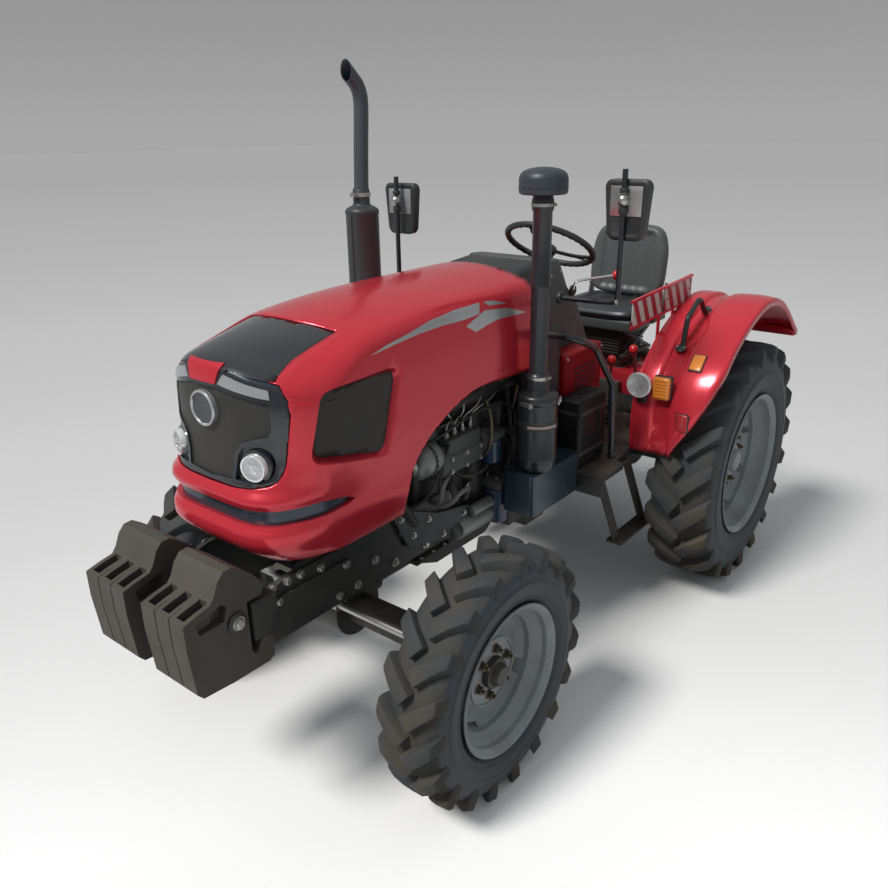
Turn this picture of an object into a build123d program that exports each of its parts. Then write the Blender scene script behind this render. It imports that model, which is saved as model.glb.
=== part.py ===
from build123d import *
import math
import os

# Farm tractor: compact four-wheel-drive open-station machine with a flip-up hood,
# front suitcase weights, vertical exhaust and a three-point hitch.
# Frame: +Z up, front towards -Y, the driver's left towards +X, ground at Z = 0,
# Y = 0 midway between the axles. Millimetres.

os.makedirs("parts", exist_ok=True)

# ---------------------------------------------------------------- driving dimensions
wheelbase = 1800
front_axle_y = -wheelbase / 2
rear_axle_y = wheelbase / 2
front_wheel_x = 600
rear_wheel_x = 655
kingpin_x = 455

hood_half_width = 290
hood_rear_y = -170
hood_skin = 5

rail_x = 180
rail_thick = 20
rail_bottom_z = 612
rail_top_z = 740

platform_z = 700
platform_thick = 22
fender_inner_x = 440
fender_outer_x = 780
fender_skin = 6
fender_lip = 16
groove_low_x = 532
groove_high_x = 600
groove_depth = 14

exhaust_x = -365
exhaust_y = -362
intake_x = 352
intake_y = -250

rockshaft_y = 1150
rockshaft_z = 880
link_pin_y = 1060
link_pin_z = 470
link_arm_y = 290
link_arm_z = -50
lift_x = 314

steer_arm = 185
fork_half = 118
fork_boss = 24
arm_low = 541
arm_thick = 20
tie_rod_z = 574

# columns: lug tip radius, tyre width, bead radius, flange radius, rim width,
# place of the disc outward from the wheel's middle, lugs on each side, height of a lug
tyre_sizes = {
    "front": (418, 205, 229, 246, 190, 10, 19, 27),
    "rear": (550, 280, 305, 322, 258, 20, 20, 33),
}
# columns: wheel name, tyre size, side (+1 left), middle plane X, axle Y
wheels = [
    ("front_left", "front", 1, front_wheel_x, front_axle_y),
    ("front_right", "front", -1, front_wheel_x, front_axle_y),
    ("rear_left", "rear", 1, rear_wheel_x, rear_axle_y),
    ("rear_right", "rear", -1, rear_wheel_x, rear_axle_y),
]
sides = [("left", 1), ("right", -1)]

front_radius = tyre_sizes["front"][0]
rear_radius = tyre_sizes["rear"][0]


def save(part, name):
    """Label a finished piece and write its STEP file."""
    part.label = name
    export_step(part, f"parts/{name}.step")


# ---------------------------------------------------------------- wheels
for wheel, size, side, middle_x, axle_y in wheels:
    radius, width, bead, flange, rim_width, disc_out, lugs, lug_high = tyre_sizes[size]
    centre = (side * middle_x, axle_y, radius)
    section = Plane(origin=centre, x_dir=(side, 0, 0), z_dir=(0, -side, 0))
    axis = Axis(centre, (1, 0, 0))
    half = width / 2
    seat = rim_width / 2 - 12
    casing = radius - lug_high
    shoulder_drop = (casing - flange) / 2 - 8

    # a bar leans back from the tyre's middle to its shoulder, so its ends lie round the tread
    lug_lean = 0.43 * half
    lug_half = 13 + 0.10 * half
    # its far corner stands on the ground, and its flat crown lies a little lower than that corner
    lug_reach = math.asin((lug_lean + lug_half) / radius)
    lug_top = radius * math.cos(lug_reach)
    with BuildPart() as tyre:
        # casing in flat facets, one for each pair of bars, with a sloping shoulder on either side
        with BuildSketch(Plane.YZ.offset(side * middle_x - half)):
            with Locations((axle_y, radius)):
                RegularPolygon(casing, lugs)
        extrude(amount=width)
        walls = tyre.faces().filter_by(Axis.X)
        for wall in walls:
            chamfer(wall.edges(), length=shoulder_drop, length2=0.14 * half, reference=wall)
        # room for the rim's flanges, and the bore that sits on its bead seats
        for across, reach, ring in (
            (-half, half - seat, flange + 4), (seat, half - seat, flange + 4), (-seat, 2 * seat, bead),
        ):
            with BuildSketch(Plane.YZ.offset(side * middle_x + across)):
                with Locations((axle_y, radius)):
                    RegularPolygon(ring, lugs, major_radius=False)
            extrude(amount=reach, mode=Mode.SUBTRACT)
        # two rows of bars, set half a pitch apart
        for row, shift in ((side, 0.0), (-side, 0.5)):
            bars = []
            for number in range(lugs):
                turn = math.tau * (0.75 + (number + shift) / lugs) - lug_reach
                outward = Vector(0, -math.cos(turn), math.sin(turn))
                foot = Vector(*centre) + outward * lug_top
                bars.append(Plane(origin=foot, x_dir=(row, 0, 0), z_dir=outward))
            with BuildSketch(*bars):
                with BuildLine():
                    Polyline(
                        (0.03 * half, -row * lug_lean - lug_half), (0.985 * half, row * lug_lean - lug_half),
                        (0.985 * half, row * lug_lean + lug_half), (0.03 * half, -row * lug_lean + lug_half),
                        (0.03 * half, -row * lug_lean - lug_half),
                    )
                make_face()
            extrude(amount=-1.6 * lug_high)
    save(tyre.part, f"tyre_{wheel}")

    rim_edge = rim_width / 2
    well = bead - 30
    with BuildPart() as rim:
        with BuildSketch(section):
            # barrel: flanges, bead seats and the drop well
            with BuildLine():
                Polyline(
                    (-rim_edge, flange), (-seat, flange), (-seat, bead), (-seat * 0.6, bead),
                    (-seat * 0.35, well), (seat * 0.35, well), (seat * 0.6, bead), (seat, bead),
                    (seat, flange), (rim_edge, flange), (rim_edge, bead - 9), (seat * 0.7, bead - 9),
                    (seat * 0.42, well - 9), (-seat * 0.42, well - 9), (-seat * 0.7, bead - 9),
                    (-rim_edge, bead - 9), (-rim_edge, flange),
                )
            make_face()
            # dished disc and the hub that carries it
            with BuildLine():
                Polyline(
                    (disc_out - 8, 0), (disc_out - 8, well * 0.62), (disc_out - 20, well * 0.9),
                    (disc_out - 20, well - 4), (disc_out - 8, well - 4), (disc_out + 4, well * 0.64),
                    (disc_out + 4, 62), (disc_out + 44, 62), (disc_out + 52, 50), (disc_out + 52, 0),
                    (disc_out - 8, 0),
                )
            make_face()
        revolve(axis=axis)
    save(rim.part, f"rim_{wheel}")

# ---------------------------------------------------------------- front axle and steering
axle_z = front_radius
with BuildPart() as front_axle:
    # beam
    with BuildSketch(Plane.YZ.offset(-kingpin_x + 60)):
        with Locations((front_axle_y, axle_z + 12)):
            Circle(55)
    extrude(amount=2 * kingpin_x - 120)
    # differential housing, a little to the right of the middle
    with BuildSketch(Plane.YZ.offset(-150)):
        with Locations((front_axle_y, axle_z + 12)):
            Circle(105)
    extrude(amount=190)
    # pinion nose towards the drive shaft
    with BuildSketch(Plane.XZ.offset(-front_axle_y - 180)):
        with Locations((-60, axle_z + 12)):
            Circle(52)
    extrude(amount=120)
    # fork ends that hold the king pins
    for side in (1, -1):
        for z in (axle_z + fork_half - fork_boss, axle_z - fork_half):
            with BuildSketch(Plane.XY.offset(z)):
                with Locations((side * kingpin_x, front_axle_y)):
                    Circle(46)
                with Locations((side * (kingpin_x - 40), front_axle_y)):
                    Rectangle(80, 84)
            extrude(amount=fork_boss)
        with BuildSketch(Plane.XY.offset(axle_z - fork_half)):
            with Locations((side * (kingpin_x - 66), front_axle_y)):
                Rectangle(44, 84)
        extrude(amount=2 * fork_half)
    # pivot bosses under the frame
    with BuildSketch(Plane.XZ.offset(-front_axle_y + 68)):
        with Locations((0, axle_z + 122)):
            Circle(44)
    extrude(amount=-136)
    with BuildSketch(Plane.XY.offset(axle_z + 60)):
        with Locations((0, front_axle_y)):
            Rectangle(110, 130)
    extrude(amount=60)
save(front_axle.part, "front_axle")

for name, side in sides:
    with BuildPart() as knuckle:
        # final drive case round the king pin
        with BuildSketch(Plane.XY.offset(axle_z - fork_half + fork_boss + 1)):
            with Locations((side * kingpin_x, front_axle_y)):
                Circle(37)
        extrude(amount=2 * (fork_half - fork_boss - 1))
        # hub carrier towards the wheel
        with BuildSketch(Plane.YZ.offset(side * kingpin_x)):
            with Locations((front_axle_y, axle_z)):
                Circle(58)
        extrude(amount=side * 30)
        with BuildSketch(Plane.YZ.offset(side * (kingpin_x + 16))):
            with Locations((front_axle_y, axle_z)):
                Circle(84)
        extrude(amount=side * (front_wheel_x - kingpin_x - 32))
        # steering arm over the fork, with the seat of the rod's eye
        with BuildSketch(Plane.XY.offset(arm_low)):
            with BuildLine():
                Polyline(
                    (side * (kingpin_x + 100), front_axle_y + 40),
                    (side * (kingpin_x - 34), front_axle_y + 20),
                    (side * (kingpin_x - 18), front_axle_y - steer_arm),
                    (side * (kingpin_x + 18), front_axle_y - steer_arm),
                    (side * (kingpin_x + 100), front_axle_y - 40),
                    (side * (kingpin_x + 100), front_axle_y + 40),
                )
            make_face()
            with Locations((side * kingpin_x, front_axle_y - steer_arm)):
                Circle(20)
        extrude(amount=arm_thick)
        with BuildSketch(Plane.XY.offset(axle_z + 60)):
            with Locations((side * (kingpin_x + 77), front_axle_y)):
                Rectangle(46, 80)
        extrude(amount=arm_low - axle_z - 60)
    save(knuckle.part, f"knuckle_{name}")

tie_y = front_axle_y - steer_arm
with BuildPart() as tie_rod:
    with BuildSketch(Plane.YZ.offset(-kingpin_x)):
        with Locations((tie_y, tie_rod_z)):
            Circle(13)
    extrude(amount=2 * kingpin_x)
    # steering cylinder barrel in the middle
    with BuildSketch(Plane.YZ.offset(-150)):
        with Locations((tie_y, tie_rod_z)):
            Circle(22)
    extrude(amount=300)
    # eyes and their pins
    for side in (1, -1):
        with BuildSketch(Plane.XY.offset(tie_rod_z - 12.5)):
            with Locations((side * kingpin_x, tie_y)):
                Circle(20)
        extrude(amount=25)
save(tie_rod.part, "tie_rod")

# ---------------------------------------------------------------- frame and front weights
hanger_low_z = 692
hanger_high_z = 811
with BuildPart() as frame_rails:
    for side in (1, -1):
        with BuildSketch(Plane.YZ.offset(side * rail_x - rail_thick / 2)):
            with BuildLine():
                Polyline(
                    (-1400, rail_bottom_z + 20), (-1400, rail_top_z + 40), (-1330, rail_top_z + 60),
                    (-560, rail_top_z + 60), (-560, rail_bottom_z), (-1380, rail_bottom_z),
                    (-1400, rail_bottom_z + 20),
                )
            make_face()
        extrude(amount=rail_thick)
    # cross plates at the front and over the axle pivot
    with BuildSketch(Plane.XY.offset(rail_bottom_z)):
        with Locations((0, -1370)):
            Rectangle(2 * rail_x, 60)
        with Locations((0, front_axle_y - 85), (0, front_axle_y + 85)):
            Rectangle(2 * rail_x, 34)
    extrude(amount=90)
    # pivot hangers
    for y in (front_axle_y - 98, front_axle_y + 68):
        with BuildSketch(Plane.XZ.offset(-y)):
            with Locations((0, axle_z + 150)):
                Rectangle(120, 96)
        extrude(amount=-30)
    # hanger bar for the suitcase weights
    with BuildSketch(Plane.YZ.offset(-235)):
        with Locations((-1442, (hanger_low_z + hanger_high_z) / 2)):
            Rectangle(84, hanger_high_z - hanger_low_z)
    extrude(amount=470)
save(frame_rails.part, "frame_rails")

weight_plates = 3
weight_thick = 58
weight_pitch = 64
with BuildPart() as front_weights:
    for side in (1, -1):
        for plate in range(weight_plates):
            plate_x = side * (72 + plate * weight_pitch)
            with BuildSketch(Plane.YZ.offset(plate_x - weight_thick / 2)):
                # nose, sole, toe under the hanger bar, hook over it, hump
                with BuildLine():
                    Polyline(
                        (-1690, 848), (-1692, 768), (-1677, 622), (-1562, 602), (-1431, 600), (-1417, 655),
                        (-1440, 688), (-1464, 681), (-1488, 655), (-1488, hanger_high_z),
                        (-1440, hanger_high_z), (-1436, 842), (-1456, 878), (-1504, 925), (-1544, 957),
                        (-1592, 950), (-1634, 913), (-1690, 848),
                    )
                make_face()
                # hand slot
                with Locations(Location((-1608, 831), 10)):
                    SlotOverall(98, 46, mode=Mode.SUBTRACT)
            extrude(amount=weight_thick)
        # foot that joins the plates of a group
        with BuildSketch(Plane.YZ.offset(side * 136 - 64)):
            with Locations((-1580, 700)):
                Rectangle(110, 110)
        extrude(amount=128)
save(front_weights.part, "front_weights")

# ---------------------------------------------------------------- engine and driveline
with BuildPart() as engine:
    with BuildSketch(Plane.XY.offset(560)):
        with Locations((0, -430)):
            Rectangle(300, 560)
    extrude(amount=520)
    # sump
    with BuildSketch(Plane.XY.offset(480)):
        with Locations((0, -440)):
            Rectangle(250, 460)
    extrude(amount=80)
    # cylinder head and rocker cover
    with BuildSketch(Plane.XY.offset(1080)):
        with Locations((0, -430)):
            Rectangle(260, 540)
    extrude(amount=110)
    with BuildSketch(Plane.XY.offset(1190)):
        with Locations((10, -430)):
            Rectangle(180, 500)
    extrude(amount=80)
    # front cover and fan hub
    with BuildSketch(Plane.XZ.offset(710)):
        with Locations((0, 900)):
            Rectangle(260, 360)
    extrude(amount=60)
    with BuildSketch(Plane.XZ.offset(770)):
        with Locations((0, 1010)):
            Circle(50)
    extrude(amount=60)
    with BuildSketch(Plane.XZ.offset(830)):
        with Locations((0, 1010)):
            Circle(190)
    extrude(amount=30)
    # oil filter and its seat on the left of the block
    with BuildSketch(Plane.XY.offset(580)):
        with Locations((212, -300)):
            Circle(46)
    extrude(amount=150)
    with BuildSketch(Plane.XY.offset(730)):
        with Locations((190, -300)):
            Rectangle(110, 90)
    extrude(amount=40)
    # injection pump on the left, manifold on the right
    with BuildSketch(Plane.XY.offset(860)):
        with Locations((190, -500)):
            Rectangle(90, 220)
    extrude(amount=150)
    with BuildSketch(Plane.XY.offset(1090)):
        with Locations((-170, -430)):
            Rectangle(90, 420)
    extrude(amount=70)
save(engine.part, "engine")

with BuildPart() as radiator:
    with BuildSketch(Plane.XY.offset(rail_top_z + 80)):
        with Locations((0, -985)):
            Rectangle(440, 90)
    extrude(amount=540)
    with BuildSketch(Plane.XZ.offset(1030)):
        with Locations((0, 1110)):
            Rectangle(400, 440)
    extrude(amount=40)
    with BuildSketch(Plane.XY.offset(rail_top_z + 80)):
        with Locations((0, -1160)):
            Rectangle(300, 180)
    extrude(amount=210)
    with BuildSketch(Plane.XY.offset(rail_top_z + 60)):
        with Locations((0, -1110)):
            Rectangle(2 * rail_x, 340)
    extrude(amount=20)
save(radiator.part, "radiator")

with BuildPart() as battery_box:
    with BuildSketch(Plane.XY.offset(655)):
        with Locations((331, -170)):
            Rectangle(138, 330)
    extrude(amount=160)
    fillet(battery_box.edges().filter_by(Axis.Z), 18)
    with BuildSketch(Plane.XY.offset(670)):
        with Locations((221, -75)):
            Rectangle(102, 130)
    extrude(amount=60)
save(battery_box.part, "battery_box")

with BuildPart() as gearbox:
    # clutch housing, gear case and rear case, with the hitch lift on top
    # columns: front Y, rear Y, half width, bottom Z, top Z
    for front_y, rear_y, half_x, low_z, high_z in (
        (-150, 55, 170, 480, 900),
        (55, 760, 140, 450, 700),
        (55, 200, 120, 380, 450),
        (760, 1160, 170, 400, 860),
        (860, 1090, 140, 860, 905),
    ):
        with BuildSketch(Plane.XY.offset(low_z)):
            with Locations((0, (front_y + rear_y) / 2)):
                Rectangle(2 * half_x, rear_y - front_y)
        extrude(amount=high_z - low_z)
    # rockshaft tube
    with BuildSketch(Plane.YZ.offset(-180)):
        with Locations((rockshaft_y, rockshaft_z)):
            Circle(58)
    extrude(amount=360)
    with BuildSketch(Plane.YZ.offset(-180)):
        with Locations((rockshaft_y, rockshaft_z)):
            Circle(31)
    extrude(amount=360, mode=Mode.SUBTRACT)
    # link pins and their seats
    for side in (1, -1):
        with BuildSketch(Plane.YZ.offset(side * 160)):
            with Locations((link_pin_y, link_pin_z)):
                Circle(45)
        extrude(amount=side * 40)
        with BuildSketch(Plane.YZ.offset(side * 200)):
            with Locations((link_pin_y, link_pin_z)):
                Circle(13)
        extrude(amount=side * 62)
save(gearbox.part, "gearbox")

with BuildPart() as rear_axle:
    for side in (1, -1):
        with BuildSketch(Plane.YZ.offset(side * 170)):
            with Locations((rear_axle_y, rear_radius)):
                Circle(130)
        extrude(amount=side * 60)
        with BuildSketch(Plane.YZ.offset(side * 230)):
            with Locations((rear_axle_y, rear_radius)):
                Circle(78)
        extrude(amount=side * 370)
        with BuildSketch(Plane.YZ.offset(side * 600)):
            with Locations((rear_axle_y, rear_radius)):
                Circle(120)
        extrude(amount=side * 55)
save(rear_axle.part, "rear_axle")

with BuildPart() as drive_shaft:
    with BuildSketch(Plane.XZ.offset(-front_axle_y - 180)):
        with Locations((-60, axle_z + 12)):
            Circle(34)
    extrude(amount=-775)
save(drive_shaft.part, "drive_shaft")

# ---------------------------------------------------------------- tubes
def tube(points, radius, bend):
    """A round bar that follows the points, with the same bend at each corner."""
    with BuildPart() as run:
        with BuildLine() as path:
            FilletPolyline(*points, radius=bend)
        with BuildSketch(Plane(origin=path.line @ 0, z_dir=path.line % 0)):
            Circle(radius)
        sweep()
    return run.part


# ---------------------------------------------------------------- air cleaner and exhaust
with BuildPart() as air_cleaner:
    # columns: bottom Z, top Z, radius
    for low_z, high_z, r in (
        (820, 1106, 75), (1106, 1160, 48), (1160, 1790, 35), (1790, 1850, 81), (1850, 1875, 60),
    ):
        with BuildSketch(Plane.XY.offset(low_z)):
            with Locations((intake_x, intake_y)):
                Circle(r)
        extrude(amount=high_z - low_z)
    # bracket to the engine
    with BuildSketch(Plane.XY.offset(930)):
        with Locations((220, intake_y)):
            Rectangle(140, 50)
    extrude(amount=40)
save(air_cleaner.part, "air_cleaner")

with BuildPart() as exhaust:
    # columns: bottom Z, top Z, radius
    for low_z, high_z, r in ((1100, 1180, 30), (1180, 1716, 63), (1716, 1730, 52)):
        with BuildSketch(Plane.XY.offset(low_z)):
            with Locations((exhaust_x, exhaust_y)):
                Circle(r)
        extrude(amount=high_z - low_z)
    # tail pipe that leans back, then bends forward to an upright slash cut
    add(tube(
        [(exhaust_x, exhaust_y, 1700), (exhaust_x, exhaust_y + 24, 2128), (exhaust_x, exhaust_y - 110, 2250)],
        27, 95,
    ))
    with BuildSketch(Plane.XZ.offset(46 - exhaust_y)):
        with Locations((exhaust_x, 2200)):
            Rectangle(120, 300)
    extrude(amount=160, mode=Mode.SUBTRACT)
    # lower pipe to the manifold
    with BuildSketch(Plane.YZ.offset(exhaust_x)):
        with Locations((exhaust_y, 1125)):
            Circle(30)
    extrude(amount=-exhaust_x - 215)
save(exhaust.part, "exhaust")

# ---------------------------------------------------------------- hood
def hood_form(inset):
    """The hood's outer form as a solid, or the space inside it when inset is the skin."""
    half = hood_half_width - inset
    with BuildPart() as form:
        # columns: Y of the section, height of the crown
        for y, top in ((hood_rear_y + inset, 1530), (-900, 1518), (-1120, 1470), (-1410, 1380)):
            crown = top - inset
            with BuildSketch(Plane.XZ.offset(-y)):
                with BuildLine():
                    Polyline((-half, crown - 60), (-half, 800), (half, 800), (half, crown - 60))
                    ThreePointArc((half, crown - 60), (half - 14, crown - 34), (half - 46, crown - 22))
                    ThreePointArc((half - 46, crown - 22), (0, crown), (46 - half, crown - 22))
                    ThreePointArc((46 - half, crown - 22), (14 - half, crown - 34), (-half, crown - 60))
                make_face()
        loft(ruled=True)
        # plan at a few heights: straight flanks and a bowed, raked nose
        nose_plans = ((780, -1352), (1000, -1400), (1170, -1398), (1290, -1362), (1400, -1318), (1600, -1230))
        with BuildPart(mode=Mode.PRIVATE) as plan_form:
            for z, nose_y in nose_plans:
                nose_y = nose_y + inset
                with BuildSketch(Plane.XY.offset(z)):
                    with BuildLine():
                        Polyline(
                            (-half, nose_y + 115), (-half, hood_rear_y + inset),
                            (half, hood_rear_y + inset), (half, nose_y + 115),
                        )
                        corner_y = nose_y + 76
                        ThreePointArc((half, nose_y + 115), (half - 10, corner_y), (half - 40, nose_y + 54))
                        ThreePointArc((half - 40, nose_y + 54), (0, nose_y), (40 - half, nose_y + 54))
                        ThreePointArc((40 - half, nose_y + 54), (10 - half, corner_y), (-half, nose_y + 115))
                    make_face()
            loft(ruled=True)
        add(plan_form.part, mode=Mode.INTERSECT)
    return form.part


with BuildPart() as hood_whole:
    add(hood_form(0))
    add(hood_form(hood_skin), mode=Mode.SUBTRACT)
    # lower edge: deep at the nose, stepping up over the engine
    with BuildSketch(Plane.YZ.offset(-320)):
        with BuildLine():
            Polyline(
                (-1500, 862), (-1362, 862), (-1180, 890), (-913, 891), (-833, 1061),
                (-679, 1184), (0, 1190), (0, 700), (-1500, 700), (-1500, 862),
            )
        make_face()
    extrude(amount=640, mode=Mode.SUBTRACT)
    # window for the side screens
    with BuildSketch(Plane.YZ.offset(-320)):
        with BuildLine():
            Polyline((-1225, 1341), (-922, 1335), (-980, 1102), (-1264, 1165), (-1225, 1341))
        make_face()
    extrude(amount=640, mode=Mode.SUBTRACT)
    # holes for the headlamps
    with BuildSketch(Plane.XZ.offset(1300)):
        with Locations((165, 1150), (-165, 1150)):
            Circle(52)
    extrude(amount=120, mode=Mode.SUBTRACT)

with BuildPart() as nose_space:
    with BuildSketch(Plane.XY.offset(800)):
        with BuildLine():
            Polyline((-250, -1115), (0, -1190), (250, -1115), (250, -1450), (-250, -1450), (-250, -1115))
        make_face()
    extrude(amount=800)

with BuildPart() as hood_shell:
    add(hood_whole.part)
    add(nose_space.part, mode=Mode.SUBTRACT)
save(hood_shell.part, "hood_shell")

with BuildPart() as hood_nose:
    add(hood_whole.part)
    add(nose_space.part, mode=Mode.INTERSECT)
save(hood_nose.part, "hood_nose")

with BuildPart() as headlamps:
    for side in (1, -1):
        with BuildSketch(Plane.XZ.offset(1340)):
            with Locations((side * 165, 1150)):
                Circle(51.9)
        extrude(amount=28)
save(headlamps.part, "headlamps")

with BuildPart() as hood_screens:
    for side in (1, -1):
        with BuildSketch(Plane.YZ.offset(side * 284)):
            with BuildLine():
                Polyline((-1230, 1347), (-916, 1341), (-975, 1097), (-1262, 1163), (-1230, 1347))
            make_face()
        extrude(amount=side * 1)
save(hood_screens.part, "hood_screens")

# ---------------------------------------------------------------- platform and steps
with BuildPart() as platform:
    with BuildSketch(Plane.XY.offset(platform_z)):
        for side in (1, -1):
            with BuildLine():
                Polyline(
                    (side * 170, 0), (side * 500, 0), (side * 500, 180), (side * 452, 200),
                    (side * 452, 760), (side * 170, 760), (side * 170, 0),
                )
            make_face()
        with Locations((0, 430)):
            Rectangle(350, 660)
    extrude(amount=platform_thick)
    # folded front edge
    for side in (1, -1):
        with BuildSketch(Plane.XY.offset(platform_z - 60)):
            with Locations((side * 335, 10)):
                Rectangle(330, 20)
        extrude(amount=62)
        # step: two leg plates and a rung
        with BuildSketch(Plane.YZ.offset(side * 470)):
            with BuildLine():
                Polyline((10, platform_z), (60, platform_z), (250, 345), (200, 345), (10, platform_z))
            make_face()
            with BuildLine():
                Polyline((236, platform_z), (290, platform_z), (495, 345), (440, 345), (236, platform_z))
            make_face()
        extrude(amount=side * 8)
        with BuildSketch(Plane.XY.offset(345)):
            with Locations((side * 474, 340)):
                Rectangle(70, 290)
        extrude(amount=12)
save(platform.part, "platform")

# ---------------------------------------------------------------- fenders
# side outline of the crown, front foot to tail, and its ends
crown_arcs = (
    ((352, 722), (339, 850), (362, 980)),
    ((362, 980), (460, 1117), (610, 1216)),
    ((610, 1216), (760, 1276), (920, 1303)),
    ((920, 1303), (1098, 1269), (1250, 1180)),
)
crown_tail = (1385, 1085)
wall_foot_z = platform_z + platform_thick


def crown_block(low_x, high_x, inset):
    """Solid under the crown between two places across, drawn in from the outline by an inset."""
    with BuildPart() as block:
        with BuildSketch(Plane.YZ.offset(low_x)):
            with BuildLine():
                for start, middle, end in crown_arcs:
                    ThreePointArc(start, middle, end)
                Polyline(
                    crown_arcs[-1][2], crown_tail, (1470, 1000), (1470, 500), (352, 500), crown_arcs[0][0]
                )
            make_face()
            if inset:
                offset(amount=-inset, mode=Mode.REPLACE)
        extrude(amount=high_x - low_x)
    return block.part


with BuildPart() as groove_space:
    add(crown_block(groove_low_x, groove_high_x, 0))
    add(crown_block(groove_low_x, groove_high_x, groove_depth), mode=Mode.SUBTRACT)

# outer edge seen from the front: narrow at the foot, full width from the shoulder up
with BuildPart() as plan_space:
    with BuildSketch(Plane.XZ.offset(-200)):
        with BuildLine():
            Polyline(
                (fender_inner_x, 640), (596, 640), (620, 735), (690, 850), (740, 960), (772, 1060),
                (fender_outer_x, 1100), (fender_outer_x, 1400), (fender_inner_x, 1400), (fender_inner_x, 640),
            )
        make_face()
    extrude(amount=-1300)
with BuildPart() as lip_space:
    with BuildSketch(Plane.XZ.offset(-200)):
        with BuildLine():
            Polyline(
                (590, 640), (596, 640), (620, 735), (690, 850), (740, 960), (772, 1060),
                (fender_outer_x, 1100), (fender_outer_x, 1400), (fender_outer_x - 7, 1400),
                (fender_outer_x - 7, 1100), (765, 1063), (733, 963), (683, 853), (613, 738), (590, 640),
            )
        make_face()
    extrude(amount=-1300)

# what is open below and behind
with BuildPart() as open_space:
    with BuildSketch(Plane.YZ.offset(fender_inner_x - 20)):
        with BuildLine():
            Polyline(
                (1120, wall_foot_z), (1300, 930), crown_tail, (1420, 1125), (1600, 1125), (1600, 400),
                (200, 400), (200, wall_foot_z), (1120, wall_foot_z),
            )
        make_face()
    extrude(amount=400)

with BuildPart() as fender_block:
    add(crown_block(fender_inner_x, fender_outer_x, 0))
    add(groove_space.part, mode=Mode.SUBTRACT)
    add(plan_space.part, mode=Mode.INTERSECT)
with BuildPart() as left_fender:
    add(fender_block.part)
    # space for the wheel, with the groove's floor and walls left standing
    for low_x, high_x, inset in (
        (fender_inner_x + fender_skin, groove_low_x - fender_skin, fender_skin),
        (groove_low_x - fender_skin, groove_high_x + fender_skin, groove_depth + fender_skin),
        (groove_high_x + fender_skin, fender_outer_x + 10, fender_skin),
    ):
        add(crown_block(low_x, high_x, inset), mode=Mode.SUBTRACT)
    # turned-in lip along the outer edge
    with BuildPart(mode=Mode.PRIVATE) as lip:
        add(crown_block(groove_high_x, fender_outer_x, 0))
        add(crown_block(groove_high_x, fender_outer_x, fender_lip), mode=Mode.SUBTRACT)
        add(lip_space.part, mode=Mode.INTERSECT)
    add(lip.part)
    add(open_space.part, mode=Mode.SUBTRACT)
fender_blocks = [fender_block.part, mirror(fender_block.part, about=Plane.YZ)]
save(left_fender.part, "fender_left")
save(mirror(left_fender.part, about=Plane.YZ), "fender_right")

with BuildPart() as fender_lamps:
    for side in (1, -1):
        with BuildSketch(Plane.XZ.offset(-300)):
            with Locations((side * 482, 1020)):
                Circle(52)
        extrude(amount=-130)
        with BuildSketch(Plane.XZ.offset(-322)):
            with Locations((side * 566, 1012)):
                Rectangle(76, 98)
        extrude(amount=-110)
    for block in fender_blocks:
        add(block, mode=Mode.SUBTRACT)
save(fender_lamps.part, "fender_lamps")

with BuildPart() as handrails:
    for side in (1, -1):
        add(tube(
            [(side * 280, -120, 1290), (side * 425, -120, 1290), (side * 425, 30, 1225),
             (side * 425, 190, 1040), (side * 425, 215, 800), (side * 425, 215, wall_foot_z)], 13, 50,
        ))
        # grab arch that stands in the fender's groove
        add(tube(
            [(side * 566, 500, 1080), (side * 566, 545, 1262), (side * 566, 655, 1325),
             (side * 566, 735, 1240)], 11, 34,
        ))
    for block in fender_blocks:
        add(block, mode=Mode.SUBTRACT)
save(handrails.part, "handrails")

# ---------------------------------------------------------------- cowl, steering and levers
wheel_centre = (0, 384, 1530)
wheel_tilt = 32
wheel_plane = Plane(origin=wheel_centre, x_dir=(1, 0, 0), z_dir=(0, 0, 1)).rotated((-wheel_tilt, 0, 0))
with BuildPart() as steering_column:
    with BuildSketch(wheel_plane.offset(-330)):
        Circle(28)
    extrude(amount=290)
save(steering_column.part, "steering_column")

with BuildPart() as console:
    # cowl behind the hood
    with BuildSketch(Plane.YZ.offset(-280)):
        with BuildLine():
            Polyline(
                (-150, 905), (-150, 1525), (60, 1525), (60, 1150), (40, 905), (-150, 905)
            )
        make_face()
    extrude(amount=560)
    # instrument housing
    with BuildSketch(Plane.YZ.offset(-190)):
        with BuildLine():
            Polyline(
                (60, platform_z + platform_thick), (60, 1525), (150, 1520), (217, 1406), (305, 1324),
                (427, 1117), (380, 1085), (250, 1050), (220, platform_z + platform_thick),
                (60, platform_z + platform_thick),
            )
        make_face()
    extrude(amount=380)
    add(steering_column.part, mode=Mode.SUBTRACT)
save(console.part, "console")

# covers beside the housing, and the boxes on the platform below them
cover_outer_x = 285
with BuildPart() as side_covers:
    for side in (1, -1):
        with BuildSketch(Plane.YZ.offset(side * 190)):
            with BuildLine():
                Polyline((60, 862), (60, 1150), (90, 1166), (330, 1166), (366, 1130), (366, 862), (60, 862))
            make_face()
        extrude(amount=side * (cover_outer_x - 190))
save(side_covers.part, "side_covers")

with BuildPart() as side_tanks:
    for side in (1, -1):
        with BuildSketch(Plane.XY.offset(platform_z + platform_thick)):
            with Locations((side * (cover_outer_x + 54), 114)):
                RectangleRounded(108, 222, 22)
        extrude(amount=298)
save(side_tanks.part, "side_tanks")

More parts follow.
